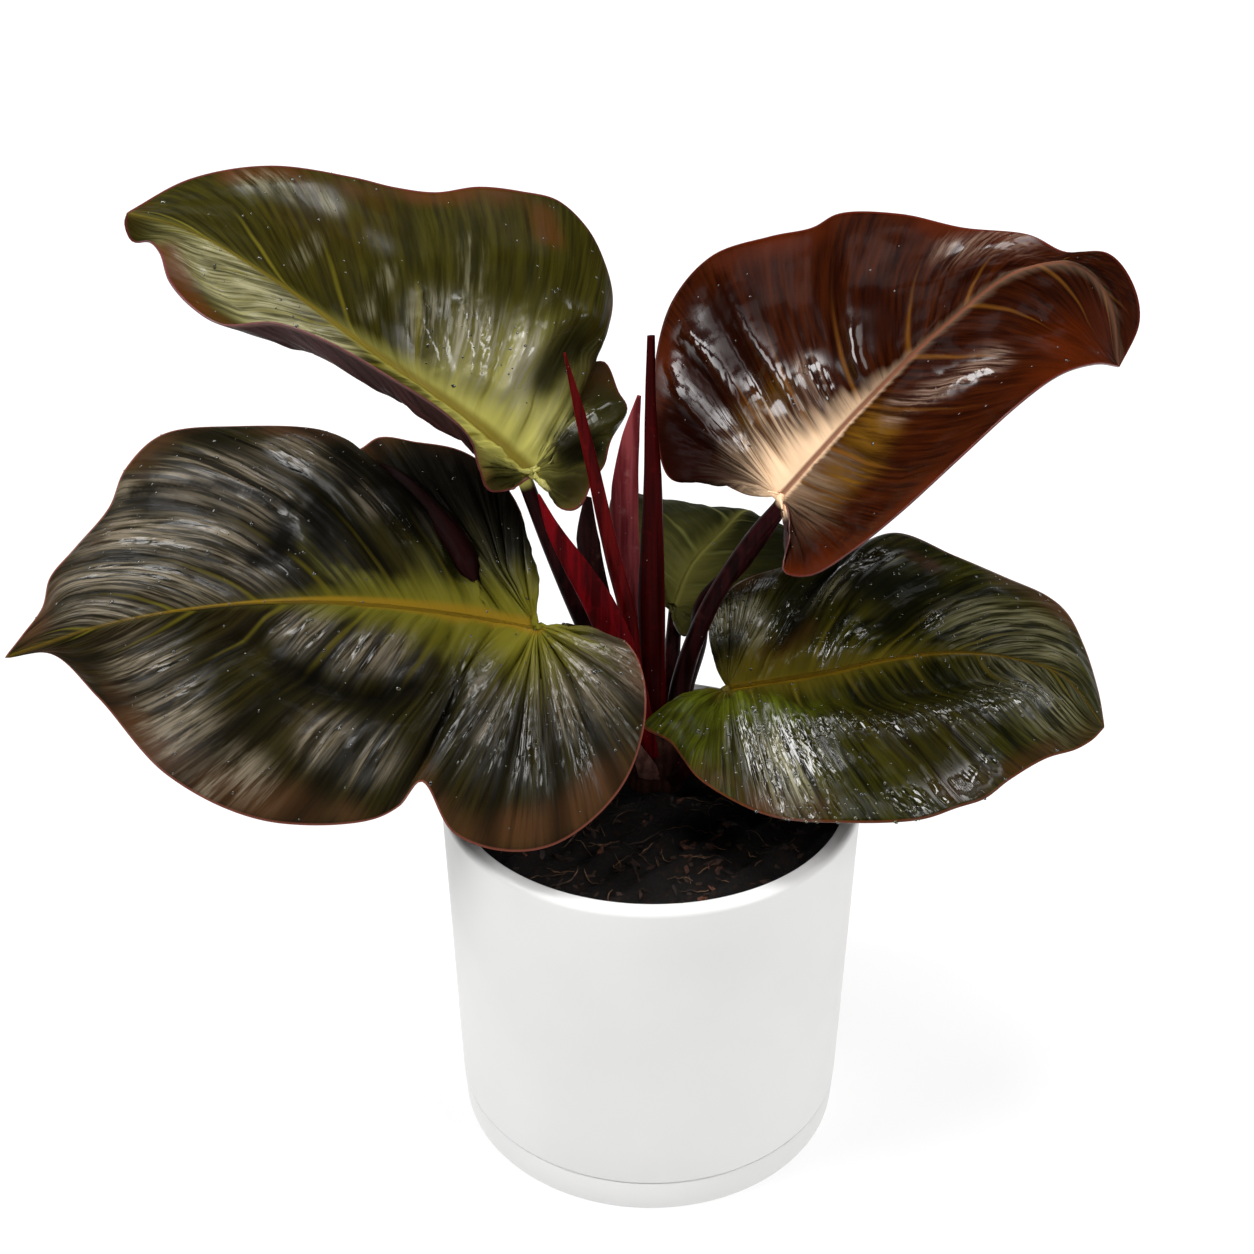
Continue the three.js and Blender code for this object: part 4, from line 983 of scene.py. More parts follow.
def upper_material(label, look, name):
    """The upper face: streaks along the veins, pale veins and midrib, a glow at the joint, a bronze blush,
    painted shade and painted sheen.
    """
    n = Nodes(label)
    phase, share, half = n.values("vein_map")
    edge, rib, joint_distance = n.values("reach_map")
    shade, pale, warm = n.values("painted_shade_and_tint_map")
    wet, painted_sheen, glassy = n.values("wet_and_painted_sheen_map")
    place = n.place()
    number = n.math("ADD", n.times(half, 37.0), phase)
    right = n.step(half, 0.4, 0.6)

    def along_veins(across, along):
        """Places drawn out along the veins, with this fineness across them and along them."""
        return n.vector(n.times(number, across), n.times(share, along))

    def by_half(left_value, right_value):
        return n.step(right, 0.0, 1.0, left_value, right_value)

    # Streaks of several widths
    streaks = n.noise(along_veins(11.0, 2.2), 1.0, 5.0, 0.62)
    hairs = n.noise(along_veins(20.0, 3.5), 1.0, 2.0, 0.55)
    strands = n.noise(along_veins(7.0, 1.4), 1.0, 1.5, 0.4)
    ripple = n.step(streaks, 0.25, 0.75, 0.5, 1.35)
    painted_satin = n.times(n.step(streaks, 0.42, 0.59, 0.06, 1.3), n.step(hairs, 0.36, 0.62, 0.35, 1.35))
    n.color = n.mix(n.step(streaks, 0.35, 0.68), look["dark"], look["light"])
    n.paint(n.times(n.step(hairs, 0.45, 0.75), 0.35), look["light"])
    cloud = n.noise(place, 22.0, 3.0, 0.55)
    n.paint(n.times(n.step(cloud, 0.42, 0.66), n.step(edge, 1.0, 15.0, 0.9, 0.1)), look["blush"])

    # The glow at the joint, weaker in the lobes
    lobe_veins = by_half(VEINS[name]["left"][0], VEINS[name]["right"][0])
    beyond_lobe = n.step(n.math("DIVIDE", phase, lobe_veins), 0.5, 1.1, look["lobe_glow"], 1.0)
    ragged = n.math("ADD", joint_distance, n.times(n.less(streaks, 0.5), 60.0))
    glow = n.step(ragged, 0.15 * look["glow_reach"], 1.5 * look["glow_reach"], 1.0, 0.0)
    n.paint(n.times(glow, by_half(*look["glow_shares"]), beyond_lobe), look["glow"])

    # Pale and warm stretches, painted shade in the valleys, a painted gray satin sheen, side veins and
    # painted shade on shaded stretches
    n.paint(n.times(pale, n.step(streaks, 0.35, 0.65, 0.2, 1.2), clamp=True), look["pale"])
    n.paint(n.times(warm, ripple, clamp=True), look["blush"])
    # Painted shade darkens the valleys along the side veins
    valley_shade = n.times(n.near_whole(phase, 0.3), n.step(streaks, 0.3, 0.6, 0.5, 1.2))
    valley_shade = n.times(valley_shade, look["valley_shade"], clamp=True)
    ridge = n.less(1.0, valley_shade)
    n.paint(valley_shade, look["shade"])
    # Painted highlight: a gray satin sheen painted into the colour where the sheen stretches lie
    n.paint(n.times(n.times(painted_sheen, painted_satin, clamp=True), ridge), look["painted_sheen"])
    line = n.near_whole(phase, n.step(share, 0.0, 0.8, 0.075, 0.016))
    line = n.times(line, n.step(share, 0.05, look["vein_reach"], 0.85, 0.03))
    n.paint(n.times(line, ripple, clamp=True), look["vein"])
    # Painted shade: the shade stretches darken the colour over hollows and shadowed lobes
    n.paint(n.times(shade, 0.97), look["shade"])

    # The feathered halo along the midrib, the midrib and the margin
    reach = look["halo_reach"]
    halo_width = n.step(joint_distance, 5.0, reach, by_half(*look["halo"]), 2.0)
    feather = n.times(rib, n.vary(strands, 1.3, 0.8))
    halo = n.step(n.math("DIVIDE", feather, halo_width), 0.0, 1.7, 0.9, 0.0)
    halo = n.times(halo, n.step(streaks, 0.3, 0.55, 0.55, 1.0))
    n.paint(n.times(halo, n.step(joint_distance, 0.3 * reach, reach, 1.0, 0.1), beyond_lobe), look["glow"])
    rib_width = n.step(joint_distance, 5.0, 120.0, look["rib_width"], 0.9)
    band = n.step(n.math("DIVIDE", rib, rib_width), 0.3, 1.2, 0.9, 0.0)
    n.paint(n.times(band, n.step(joint_distance, 90.0, 170.0, 1.0, 0.35)), look["rib"])
    n.paint(n.step(edge, 0.3, 1.1, 0.8, 0.0), look["margin"])

    # Damp strands and glassy patches, over a dry leaf's dull gloss
    damp = n.math("ADD", wet, look["damp"])
    damp = n.times(damp, n.step(strands, 0.36, 0.6, 1.0 - look["strand"], 1.2), clamp=True)
    damp = n.times(damp, ridge, n.step(shade, 0.0, 1.0, 1.0, look["wet"]), n.step(pale, 0.0, 1.0, 1.0, 0.6))
    damp = n.math("MAXIMUM", damp, glassy)
    uneven = n.less(1.0, glassy)
    rough = n.vary(n.noise(place, 60.0, 3.0), look["roughness"] * 0.8, look["roughness"] * 1.25)
    film = n.times(n.step(n.cells(along_veins(9.0, 13.0), 1.0), 0.15, 0.6), n.step(damp, 0.3, 0.8))
    surface = n.bumps(
        (hairs, look["strand"], 0.00035),
        (n.times(n.less(strands, 0.5), uneven), 1.0, look["strand"] * MM),
        (n.step(rib, 0.0, 1.2), 0.3, 0.0004),
        (n.noise(place, 900.0, 2.0, 0.6), 0.1, 0.0001),
        (n.times(film, uneven), look["wet"], 0.0007),
    )
    return n.finish({
        "Roughness": n.times(rough, n.step(damp, 0.0, 1.0, 1.8, 0.65)),
        "Specular IOR Level": n.step(damp, 0.0, 1.0, 0.01, look["specular"]),
        "Coat Weight": n.times(damp, look["coat"]),
        "Coat Roughness": 0.05,
        "Normal": surface,
        "Coat Normal": surface,
    })


def lower_material(label, look):
    """The lower face: matt maroon with raised veins, and the blade's glow at the joint."""
    n = Nodes(label)
    phase, share, _ = n.values("vein_map")
    edge, rib, joint_distance = n.values("reach_map")
    streaks = n.noise(n.vector(n.times(phase, 9.0), n.times(share, 2.0)), 1.0, 5.0, 0.6)
    line = n.times(n.near_whole(phase, 0.05), n.step(share, 0.2, 1.0, 0.6, 0.1))
    n.color = n.mix(n.vary(streaks), (0.009, 0.0015, 0.0015), (0.04, 0.009, 0.009))
    n.paint(line, (0.07, 0.024, 0.018))
    n.paint(n.step(rib, 1.0, 4.0, 0.8, 0.0), (0.09, 0.035, 0.02))
    n.paint(n.step(edge, 0.4, 2.2, 0.7, 0.0), (0.1, 0.04, 0.03))
    n.color = n.mix(look["under"], (0.004, 0.001, 0.001), n.color)
    n.paint(n.step(joint_distance, 5.0, 14.0, 0.9, 0.0), look["glow"])
    return n.finish({
        "Roughness": n.vary(streaks, 0.4, 0.55),
        "Specular IOR Level": 0.3 * look["under"] ** 2,
        "Normal": n.bumps((n.math("ADD", streaks, line), 0.5, 0.0012)),
    })


def margin_material(label, look):
    """The thin coloured edge of a blade."""
    n = Nodes(label)
    mottle = n.noise(n.place(), 260.0, 3.0)
    n.color = n.mix(n.vary(mottle), tuple(0.5 * value for value in look["margin"]), look["margin"])
    return n.finish({"Roughness": n.vary(mottle, 0.35, 0.5)})


def plant_skin(label, dark, light, pale, roughness, specks=0.0, neck=None):
    """Smooth stalk skin: long streaks, some mottling, pale specks, and the blade's tone in a stalk's neck."""
    n = Nodes(label)
    place = n.place()
    x, y, z = n.parts(place)
    streaks = n.noise(n.vector(n.times(x, 300.0), n.times(y, 300.0), n.times(z, 14.0)), 1.0, 5.0, 0.6)
    mottle = n.noise(place, 150.0, 4.0, 0.6)
    dots = n.step(n.cells(place, 300.0), 0.04, 0.09, specks, 0.0)
    n.color = n.mix(n.step(streaks, 0.35, 0.65), dark, light)
    n.paint(n.step(mottle, 0.55, 0.75, 0.0, 0.35), pale)
    n.paint(n.times(dots, n.step(n.noise(place, 70.0, 2.0), 0.52, 0.6)), (0.5, 0.38, 0.34))
    if neck:
        along = n.values("sweep_map")[0]
        n.paint(n.step(along, 0.96, 0.99, 0.0, 0.8), neck)
    return n.finish({
        "Roughness": n.vary(mottle, roughness * 0.8, roughness * 1.2),
        "Specular IOR Level": 0.03,
        "Normal": n.bumps((n.math("ADD", streaks, n.times(mottle, 0.3)), 0.25, 0.0006)),
    })


def value_along(values, u):
    return np.interp(u, np.linspace(0, 1, len(values)), values)


def closed_tube(name, ring, foot, tip, material, values=None):
    """A piece from rings of points, closed by a point at its foot and one at its tip."""
    rings, sides = ring.shape[:2]
    number = ring_numbers(rings, sides)
    points = np.concatenate([ring.reshape(-1, 3), [foot, tip]])
    ends = [cone(number[0, ::-1], rings * sides), cone(number[-1], rings * sides + 1)]
    quads = grid_quads(number)[:, [0, 3, 2, 1]]
    return make_mesh(name, points, np.concatenate([triangles_of(quads), *ends]), [material], values=values)


def swept(name, curve, rings, sides, outline, facing, material):
    """A closed tube along a curve. Outline gives sideways and outwards for a share of it and an angle."""
    u = np.linspace(0, 1, rings)
    centre = curve.point(u)
    ahead = curve.ahead(u, 1e-3)
    front = np.array(facing, float)
    out = unit(front - ahead * (ahead @ front)[:, None])
    side = np.cross(out, ahead)
    angle = np.linspace(0, FULL_TURN, sides, endpoint=False)
    wide, deep = outline(u[:, None], angle[None, :])
    ring = centre[:, None] + side[:, None] * wide[..., None] + out[:, None] * deep[..., None]
    along = np.concatenate([np.repeat(u, sides), [0, 1]])
    around = np.concatenate([np.tile(angle / FULL_TURN, rings), [0, 0]])
    values = {"sweep_map": np.stack([along, around, np.zeros_like(along)], axis=1)}
    return closed_tube(name, ring, centre[0], centre[-1], material, values)


def petiole(name, material):
    """A stalk with a shallow channel along its portrait side, wider where it leaves the stem."""
    leaf = LEAVES[name]
    end = np.array(leaf["joint"], float) + leaf_axes(leaf["aim"])[0] * 3.0 - [0, 0, 3.0]

    def outline(u, angle):
        channel = 1 - 0.12 * np.exp(-(((angle - math.pi / 2) / 0.35) ** 2))
        ribs = 1 + 0.012 * np.sin(9 * angle + 3 * u)
        radius = value_along(PETIOLE_RADII, u) * channel * ribs * 0.98
        return radius * np.cos(angle), radius * np.sin(angle)

    return swept("stalk_" + name, Curve([*leaf["petiole"], end]), 70, 32, outline, (0, -1, 0.1), material)


def sheath(name, material, fold_at=1.9, fold=0.16):
    """A rolled spear or sheath: an oval with one edge lapped over the other, and shallow lines along it."""
    shape = SHEATHS[name]

    def outline(u, angle):
        turn = ((angle - fold_at) / FULL_TURN) % 1
        lap = 1 - fold * (1 - turn) * smooth_step(0, 0.15, u) * (1 - 0.6 * u)
        lines = 1 - 0.02 * np.abs(np.sin(5 * angle)) * smooth_step(0, 0.2, u)
        wide = value_along(shape["width"], u) * np.cos(angle) * lines
        deep = value_along(shape["depth"], u) * np.sin(angle) * lines
        return wide * lap, deep * lap

    return swept("roll_" + name, Curve(shape["line"]), 110, 72, outline, shape["facing"], material)


def lathe(name, profile, material, sides=200):
    """A turned body about the Z axis from a closed or axis-to-axis profile."""
    outline = np.array(profile, float)
    angle = np.linspace(0, FULL_TURN, sides, endpoint=False)
    points, number = [], np.zeros((len(outline), sides + 1), int)
    for k, (radius, z) in enumerate(outline):
        if radius < 1e-6:
            number[k] = len(points)
            points.append((0, 0, z))
        else:
            number[k] = len(points) + np.arange(sides + 1) % sides
            points.extend(zip(radius * np.cos(angle), radius * np.sin(angle), np.full(sides, z)))
    if np.allclose(outline[0], outline[-1]):
        number[-1] = number[0]
    quads = grid_quads(number)[:, [0, 3, 2, 1]]
    return make_mesh(name, np.array(points), triangles_of(quads), [material])


def outer_radius(z):
    return POT_BASE_RADIUS + (POT_TOP_RADIUS - POT_BASE_RADIUS) * z / POT_HEIGHT


def inner_radius(z):
    return outer_radius(z) - WALL


def arc(x, z, radius, start, steps):
    """A quarter round that turns on from the start angle."""
    angles = [math.radians(start + 90 * i / steps) for i in range(steps + 1)]
    return [(x + radius * math.cos(a), z + radius * math.sin(a)) for a in angles]


def white_material(label, roughness):
    """Plain white glaze with the faintest clouding."""
    n = Nodes(label)
    place = n.place()
    n.color = n.mix(n.vary(n.noise(place, 14.0, 3.0)), (0.665, 0.663, 0.655), (0.695, 0.693, 0.685))
    return n.finish({
        "Roughness": n.vary(n.noise(place, 40.0, 2.0), roughness * 0.9, roughness * 1.1),
        "Normal": n.bumps((n.noise(place, 500.0, 2.0), 0.02, 0.0002)),
    })


def saucer(material):
    """A shallow saucer whose wall is flush with the pot's."""
    outer = outer_radius(SAUCER_HEIGHT)
    inner = outer - SAUCER_WALL
    under = POT_BASE_RADIUS - SAUCER_FOOT_INSET
    return lathe("flush_saucer", [
        (0, 0),
        (under, 0),
        *arc(under, SAUCER_FOOT_ROUND, SAUCER_FOOT_ROUND, -90, 5),
        (outer - 0.12, SAUCER_HEIGHT - 0.6),
        *arc(outer - SAUCER_RIM_INSET, SAUCER_HEIGHT - SAUCER_RIM_ROUND, SAUCER_RIM_ROUND, 0, 4),
        (inner, SAUCER_HEIGHT),
        (inner, SAUCER_FLOOR + 1),
        (inner - 1, SAUCER_FLOOR),
        (0, SAUCER_FLOOR),
    ], material)


def pot(material):
    """The hollow pot, its foot in the saucer and a drain hole in its floor."""
    foot = SAUCER_FLOOR + GAP
    floor = foot + FLOOR_THICKNESS
    shoulder = SAUCER_HEIGHT + SEAM
    base = outer_radius(shoulder)
    eased = shoulder + SEAM_ROUND
    rim = POT_HEIGHT - RIM_ROUND
    return lathe("round_pot", [
        (DRAIN_RADIUS, foot),
        (FOOT_RADIUS - 1, foot),
        (FOOT_RADIUS, foot + 1),
        (FOOT_RADIUS, shoulder),
        (base - 0.6, shoulder),
        *arc(base - SEAM_ROUND, eased, SEAM_ROUND, -90, 4),
        *[(outer_radius(z), z) for z in np.linspace(eased, rim, 9)[1:-1]],
        *arc(outer_radius(POT_HEIGHT) - RIM_ROUND, rim, RIM_ROUND, 0, 8),
        *arc(inner_radius(POT_HEIGHT) + INNER_ROUND, POT_HEIGHT - INNER_ROUND, INNER_ROUND, 90, 5),
        (inner_radius(80), 80),
        (inner_radius(20), 20),
        (FLOOR_RADIUS + FLOOR_ROUND, floor + FLOOR_ROUND),
        (FLOOR_RADIUS, floor),
        (DRAIN_RADIUS, floor),
        (DRAIN_RADIUS, foot),
    ], material)


def soil_height(x, y):
    """The soil's lumpy top, the same broad lumps as the part's with finer ones on them."""
    side = inner_radius(SOIL_LEVEL) - SOIL_CLEARANCE
    dome = SOIL_DOME * (1 - (x * x + y * y) / side**2)
    lumps = np.sin(x * 0.19 + 1.3) * np.cos(y * 0.23) + 0.6 * np.sin(x * 0.41 - y * 0.37)
    crumbs = np.sin(x * 0.9 + 2 * np.sin(y * 0.7)) * np.cos(y * 1.1 + np.sin(x * 0.8))
    grains = np.sin(x * 2.3 + y * 1.7) * np.sin(y * 2.9 - x * 1.1)
    return SOIL_LEVEL + dome + SOIL_LUMP * lumps + SOIL_CRUMB * crumbs + SOIL_GRAIN * grains


def soil(material):
    """The filled pot's soil: a fine lumpy top over plain sides."""
    side = inner_radius(SOIL_LEVEL) - SOIL_CLEARANCE
    floor = SAUCER_FLOOR + GAP + FLOOR_THICKNESS + GAP
    rings, sides = 60, 240
    angle = np.linspace(0, FULL_TURN, sides, endpoint=False)
    radius = side * np.linspace(1, 1 / rings, rings)
    x, y = radius[:, None] * np.cos(angle), radius[:, None] * np.sin(angle)
    top = np.stack([x, y, soil_height(x, y)], axis=2)
    walls = [(67.8, floor), (70.2, floor + 2.6), (inner_radius(20) - SOIL_CLEARANCE, 20.5)]
    lower = [np.stack([r * np.cos(angle), r * np.sin(angle), np.full(sides, z)], axis=1) for r, z in walls]
    ring = np.concatenate([lower, top])
    return closed_tube("potting_soil", ring, (0, 0, floor), (0, 0, float(soil_height(0, 0))), material)


def soil_material():
    """Near black mix with brown crumbs."""
    n = Nodes("soil_dark")
    crumbs = n.noise(n.place(), 260.0, 6.0, 0.7)
    n.color = n.mix(n.step(crumbs, 0.5, 0.75), (0.0022, 0.0014, 0.001), (0.02, 0.009, 0.005))
    return n.finish({
        "Roughness": n.vary(crumbs, 0.75, 0.95),
        "Specular IOR Level": 0.2,
        "Normal": n.bumps((crumbs, 0.8, 0.002)),
    })


def bark_material(label, dark, light):
    """Grained bark or fibre, some of it stained dark by the soil."""
    n = Nodes(label)
    place = n.place()
    grain = n.noise(place, 600.0, 5.0, 0.7)
    n.color = n.mix(n.step(grain, 0.35, 0.7), dark, light)
    n.paint(n.step(n.noise(place, 90.0, 1.0), 0.35, 0.6, 0.85, 0.0), (0.004, 0.002, 0.0015))
    return n.finish({
        "Roughness": n.vary(grain, 0.6, 0.85),
        "Specular IOR Level": 0.3,
        "Normal": n.bumps((grain, 0.5, 0.0006)),
    })


def on_soil(random, reach=0.97):
    """A random spot on the soil, clear of the stem."""
    side = inner_radius(SOIL_LEVEL) - 3
    while True:
        radius = side * reach * math.sqrt(random.random())
        angle = FULL_TURN * random.random()
        x, y = radius * math.cos(angle), radius * math.sin(angle)
        if math.hypot(x - STEM_AXIS[0], y - STEM_AXIS[1]) > STEM_RADIUS + 3:
            return x, y


def bark_chips(name, material, count, size, seed):
    """Flat ragged splinters of bark that lie about on the soil."""
    random = np.random.default_rng(seed)
    corners = 9
    upper, lower = ring_numbers(2, corners)
    walls = triangles_of(grid_quads(np.stack([upper, lower])))
    faces = np.concatenate([cone(upper, 2 * corners), cone(lower[::-1], 2 * corners + 1), walls])
    chips = []
    for _ in range(count):
        x, y = on_soil(random)
        long, wide = size * random.uniform(0.5, 1.3), size * random.uniform(0.18, 0.5)
        thick = random.uniform(0.35, 0.9)
        turn, tilt, lean = random.uniform(0, FULL_TURN), random.normal(0, 0.35), random.normal(0, 0.3)
        angle = np.sort(random.uniform(0, FULL_TURN, corners))
        ragged = random.uniform(0.6, 1.1, corners)
        across, over = long * ragged * np.cos(angle), wide * ragged * np.sin(angle)
        bend = random.uniform(-0.25, 0.25, corners) * thick + 0.05 * across**2 / long
        flat = np.stack([across, over, bend], axis=1)
        chip = np.concatenate([flat, flat - [0, 0, thick], [[0, 0, thick * 0.3], [0, 0, -thick]]])
        turned = np.array(Euler((lean, tilt, turn)).to_matrix())
        chips.append(chip @ turned.T + [x, y, float(soil_height(x, y)) + thick * 0.4])
    return scattered(name, chips, faces, material, smooth=False)


def fibres(name, material, count, seed):
    """Thin bent root and coir fibres on the soil."""
    random = np.random.default_rng(seed)
    rings, sides = 9, 5
    number = ring_numbers(rings, sides)
    walls = triangles_of(grid_quads(number)[:, [0, 3, 2, 1]])
    faces = np.concatenate([walls, fan(number[0])[:, ::-1], fan(number[-1])])
    around = np.linspace(0, FULL_TURN, sides, endpoint=False)[None, :, None]
    u = np.linspace(-0.5, 0.5, rings)
    threads = []
    for _ in range(count):
        x, y = on_soil(random, 0.93)
        length = random.uniform(4, 15)
        thick = random.uniform(0.12, 0.3)
        angle = random.uniform(0, FULL_TURN) + random.normal(0, 0.5) * u
        x, y = x + length * u * np.cos(angle), y + length * u * np.sin(angle)
        inside = np.minimum(1, (inner_radius(SOIL_LEVEL) - 2) / np.hypot(x, y))
        x, y = x * inside, y * inside
        lift = random.uniform(0.4, 1.2) + random.uniform(0, 2.2) * (u + 0.5) * (random.random() < 0.4)
        centre = np.stack([x, y, soil_height(x, y) + lift], axis=1)
        ahead = unit(np.gradient(centre, axis=0))
        side = unit(np.cross(ahead, [0, 0, 1.0]))
        up = np.cross(side, ahead)
        taper = (thick * (1 - 0.6 * np.abs(2 * u) ** 2))[:, None, None]
        spokes = side[:, None] * np.cos(around) + up[:, None] * np.sin(around)
        threads.append((centre[:, None] + spokes * taper).reshape(-1, 3))
    return scattered(name, threads, faces, material)


def drops(name, surface, material, count, seed):
    """Low round beads of water on a blade's upper face."""
    above, triangles, normals, wet = surface
    random = np.random.default_rng(seed)
    a, b, c = (above[triangles[:, k]] for k in range(3))
    area = np.linalg.norm(np.cross(b - a, c - a), axis=1)
    corner = triangles[:, 0]
    chance = area * np.clip(normals[corner, 2], 0, 1) * (0.15 + wet[corner])
    chosen = random.choice(len(triangles), count, p=chance / chance.sum())
    rings, sides = 4, 10
    number = ring_numbers(rings, sides)
    walls = triangles_of(grid_quads(number)[:, [0, 3, 2, 1]])
    faces = np.concatenate([walls, cone(number[-1], rings * sides), fan(number[0])[:, ::-1]])
    angle = np.linspace(0, FULL_TURN, sides, endpoint=False)[:, None]
    rise = np.arange(rings)[:, None, None] / rings * math.pi / 2
    beads = []
    for k in chosen:
        normal = unit(normals[corner[k]])
        side = unit(np.cross(normal, [0.3, 0.5, 0.8]))
        other = np.cross(normal, side)
        radius = min(random.lognormal(-0.95, 0.4), 1.1)
        stretch = random.uniform(0.75, 1.3)
        flat = side * np.cos(angle) * stretch + other * np.sin(angle) / stretch
        bead = flat * np.cos(rise) * radius + normal * (np.sin(rise) * 0.5 * radius - 0.06)
        top = normal * (0.5 * radius - 0.06)
        beads.append(np.concatenate([bead.reshape(-1, 3), [top]]) + a[k])
    return scattered(name, beads, faces, material)


def water_material(label, look):
    """A bead shows the blade through it, a shade deeper, with a hard shine."""
    n = Nodes(label)
    tone = n.noise(n.place(), 120.0, 2.0)
    n.color = n.mix(n.vary(tone), look["dark"], look["light"])
    return n.finish({
        "Roughness": n.vary(tone, 0.02, 0.05),
        "Specular IOR Level": 0.6,
        "Coat Weight": 0.6,
        "Coat Roughness": 0.02,
    })


def stem(material):
    """The short stem, ringed with the scars of old leaves: heights above the soil and steps in its radius."""
    scars = [
        (0, 0), (4, 0.9), (8, 0.2), (10, -0.6), (12, 0.3), (16, -0.2), (19, -0.8), (21, -0.2),
        (26, -1.6), (29, -4), (31, -8),
    ]
    foot = SOIL_LEVEL - STEM_DEPTH
    profile = [(0, foot), (STEM_RADIUS, foot)]
    profile += [(STEM_RADIUS + grow, SOIL_LEVEL + z) for z, grow in scars]
    piece = lathe("short_stem", [*profile, (0, SOIL_LEVEL + 31.3)], material, 64)
    piece.data.transform(Matrix.Translation((STEM_AXIS[0] * MM, STEM_AXIS[1] * MM, 0)))
    return piece


# The portrait's view: what it looks at, how many degrees down and from how far, and its focal length in
# pixels of a picture that is PICTURE_WIDTH pixels wide.
VIEW_TARGET = (-9.44, 0, 220.28)
VIEW_DOWN = 28.61
VIEW_DISTANCE = 673.67
FOCAL_PIXELS = 1793
PICTURE_WIDTH = 1254
SENSOR_WIDTH = 36


def place_camera():
    down = math.radians(VIEW_DOWN)
    camera = bpy.data.objects.new("portrait_camera", bpy.data.cameras.new("portrait_camera"))
    back = VIEW_DISTANCE * np.array([0, -math.cos(down), math.sin(down)])
    camera.location = (np.array(VIEW_TARGET) + back) * MM
    camera.rotation_euler = (math.pi / 2 - down, 0, 0)
    camera.data.sensor_width = SENSOR_WIDTH
    camera.data.lens = SENSOR_WIDTH * FOCAL_PIXELS / PICTURE_WIDTH
    camera.data.clip_start = 0.01
    camera.data.clip_end = 100
    bpy.context.scene.collection.objects.link(camera)
    bpy.context.scene.camera = camera


# The soft lights: energy, angle across and the direction towards them.
LIGHTS = {
    "overhead_softbox": (2.0, 26, (-0.1, 0.07, 0.99)),
    "front_softbox": (0.3, 20, (0.15, -0.43, 0.89)),
    "rear_left_softbox": (0.9, 20, (-0.47, 0.22, 0.85)),
    "rear_right_softbox": (0.6, 26, (0.38, 0.44, 0.81)),
    "left_softbox": (2.0, 28, (-0.74, -0.22, 0.63)),
    "right_softbox": (1.5, 24, (0.68, -0.45, 0.58)),
}
# The dome: its height range, and its strength at the horizon and overhead.
DOME = (0.0, 0.4, 0.75, 0.03)


def soft_light():
    """Soft lights on every side of the plant, a pale band of light round the horizon and a dim dome."""
    for name, (energy, angle, towards) in LIGHTS.items():
        sun = bpy.data.lights.new(name, "SUN")
        sun.energy = energy
        sun.angle = math.radians(angle)
        lamp = bpy.data.objects.new(name, sun)
        lamp.rotation_euler = Vector(towards).to_track_quat("Z", "Y").to_euler()
        bpy.context.scene.collection.objects.link(lamp)
    world = bpy.data.worlds.new("soft_studio")
    bpy.context.scene.world = world
    world.use_nodes = True
    tree = world.node_tree
    split = tree.nodes.new("ShaderNodeSeparateXYZ")
    tree.links.new(tree.nodes.new("ShaderNodeTexCoord").outputs["Generated"], split.inputs[0])
    band = tree.nodes.new("ShaderNodeMapRange")
    band.interpolation_type = "SMOOTHSTEP"
    for socket, number in zip(band.inputs[1:5], DOME):
        socket.default_value = number
    tree.links.new(split.outputs[2], band.inputs[0])
    background = tree.nodes["Background"]
    tree.links.new(band.outputs[0], background.inputs["Strength"])
    background.inputs["Color"].default_value = (1, 1, 1, 1)
    bpy.context.scene.view_settings.view_transform = "Standard"


def studio_floor():
    """A plain pale floor that reaches out of sight."""
    half = 12000.0
    n = Nodes("pale_floor")
    tone = n.noise(n.place(), 3.0, 2.0)
    n.color = n.mix(tone, (0.2, 0.2, 0.2), (0.21, 0.21, 0.21))
    pale = n.finish({
        "Roughness": n.vary(tone, 0.85, 0.9),
        "Emission Color": (1.0, 1.0, 1.0),
        "Emission Strength": 0.8,
        "Specular IOR Level": 0.1,
    })
    points = half * np.array([[-1, -1, 0], [1, -1, 0], [1, 1, 0], [-1, 1, 0]])
    floor = make_mesh("studio_floor", points, np.array([[0, 1, 2, 3]]), [pale])


def settle(piece, slot, *nodes):
    """The piece stands for its solids and rides with the plant. Its slot is not used."""
    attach(piece, "root")
    if nodes:
        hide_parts(*nodes)


place_camera()
soft_light()
studio_floor()

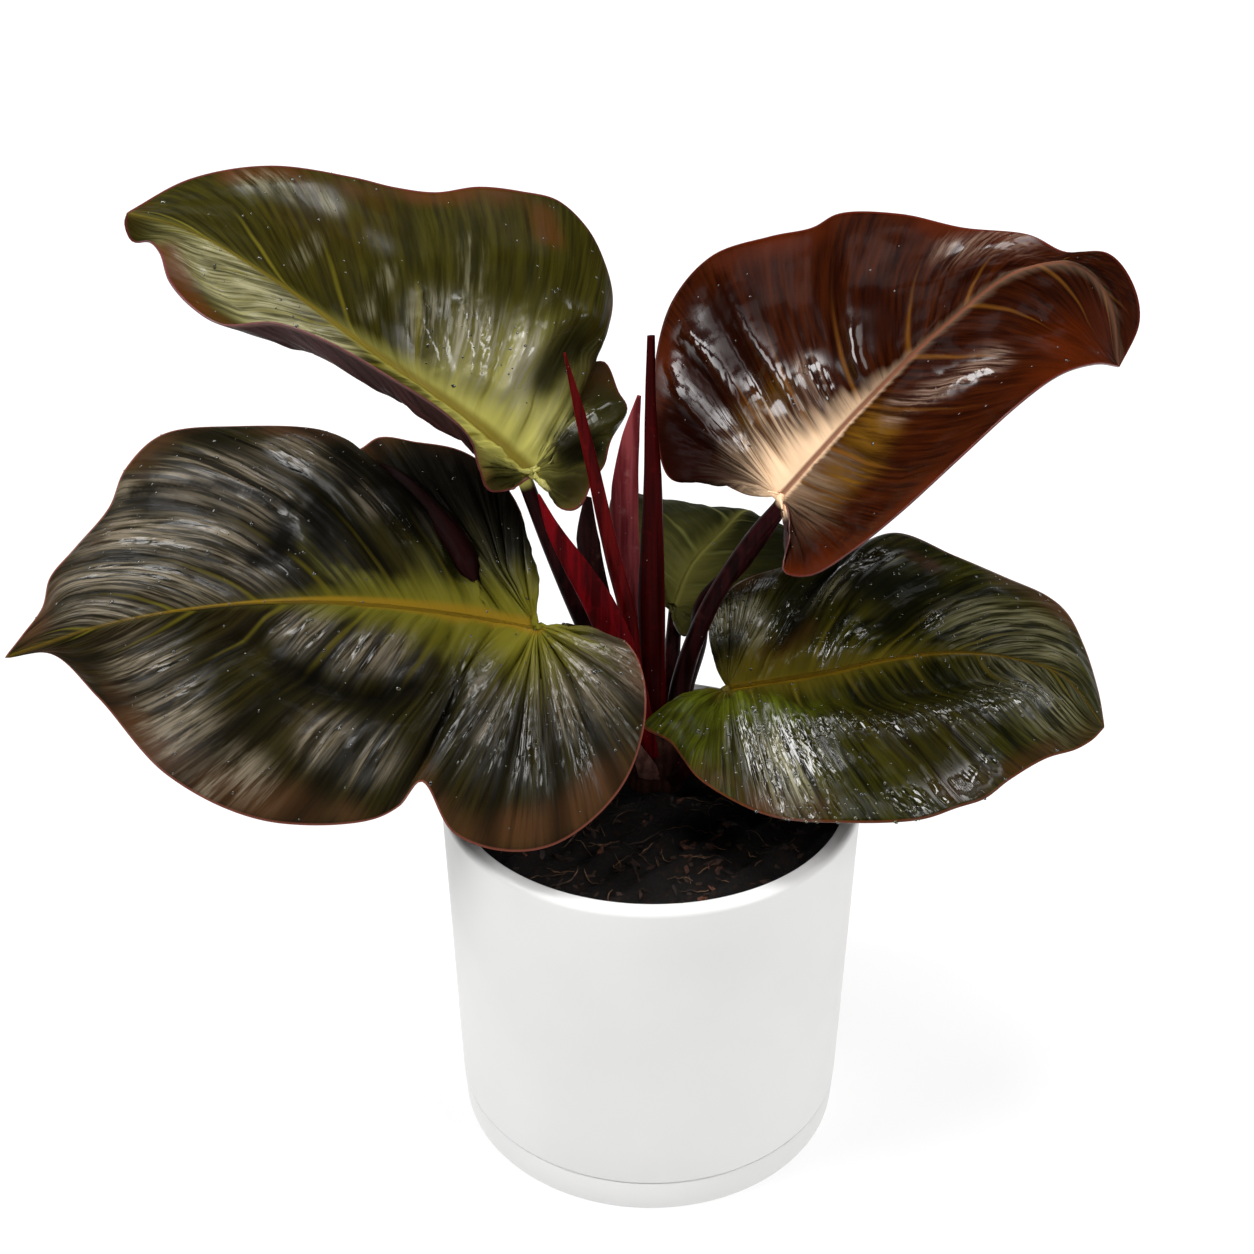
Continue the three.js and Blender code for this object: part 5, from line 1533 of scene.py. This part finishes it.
# The pot and what is in it
white = white_material("white_glaze_skin", 0.42)
settle(saucer(white), "white_glaze", "saucer")
settle(pot(white), "white_glaze", "pot")
settle(soil(soil_material()), "potting_mix", "soil")
reddish = bark_material("bark_reddish", (0.02, 0.006, 0.003), (0.14, 0.045, 0.018))
brown = bark_material("bark_brown", (0.008, 0.004, 0.002), (0.05, 0.022, 0.011))
fibre = bark_material("fibre_brown", (0.03, 0.014, 0.007), (0.22, 0.12, 0.06))
settle(bark_chips("bark_red_chips", reddish, 110, 3.4, seed=5), "potting_mix")
settle(bark_chips("bark_brown_chips", brown, 260, 2.8, seed=8), "potting_mix")
settle(fibres("soil_fibres", fibre, 110, seed=3), "potting_mix")
stem_skin = plant_skin("stem_skin_brown", (0.012, 0.004, 0.003), (0.05, 0.018, 0.013), (0.1, 0.05, 0.03), 0.5)
settle(stem(stem_skin), "stem_skin", "stem")

# The spears and sheaths: slot, dark, light and pale tone, and roughness
SHEATH_SKINS = {
    "tall_spear": ("red_spear", (0.012, 0.0002, 0.0004), (0.036, 0.0006, 0.0008), (0.09, 0.003, 0.004), 0.4),
    "thin_spear": ("red_spear", (0.03, 0.0006, 0.0009), (0.1, 0.0025, 0.003), (0.17, 0.008, 0.009), 0.4),
    "crimson_sheath": (
        "crimson_skin", (0.03, 0.0004, 0.0009), (0.13, 0.0012, 0.0035), (0.2, 0.008, 0.012), 0.45,
    ),
    "velvet_sheath": ("rose_skin", (0.11, 0.012, 0.015), (0.26, 0.05, 0.055), (0.42, 0.17, 0.17), 0.6),
    "old_sheath": ("withered_skin", (0.006, 0.0015, 0.0015), (0.03, 0.008, 0.008), (0.16, 0.08, 0.055), 0.45),
    "bract": ("withered_skin", (0.05, 0.02, 0.015), (0.16, 0.075, 0.06), (0.28, 0.15, 0.12), 0.5),
}
for name, (slot, *tones) in SHEATH_SKINS.items():
    skin = plant_skin(name + "_skin", *tones, specks=0.5)
    settle(sheath(name, skin), slot, name)

# The leaves, each with its stalk and its drops of water
BLADE_SLOTS = {
    "low_left": "bronze_green_blade", "high_left": "olive_blade", "high_right": "copper_blade",
    "low_right": "green_blade", "back": "pale_green_blade", "behind": "copper_blade",
}
STALK_TONES = ((0.005, 0.001, 0.001), (0.022, 0.003, 0.004), (0.05, 0.012, 0.01), 0.35)
FIRST_DROPS_SEED = 20
for seed, (name, slot) in enumerate(BLADE_SLOTS.items(), FIRST_DROPS_SEED):
    look = LOOKS[name]
    piece, surface = blade(name)
    settle(piece, slot, "blade_" + name)
    stalk_skin = plant_skin("stalk_" + name, *STALK_TONES, specks=0.4, neck=look["glow"])
    settle(petiole(name, stalk_skin), "red_stalk", "petiole_" + name)
    settle(drops("drops_" + name, surface, water_material("water_" + name, look), look["drops"], seed), slot)
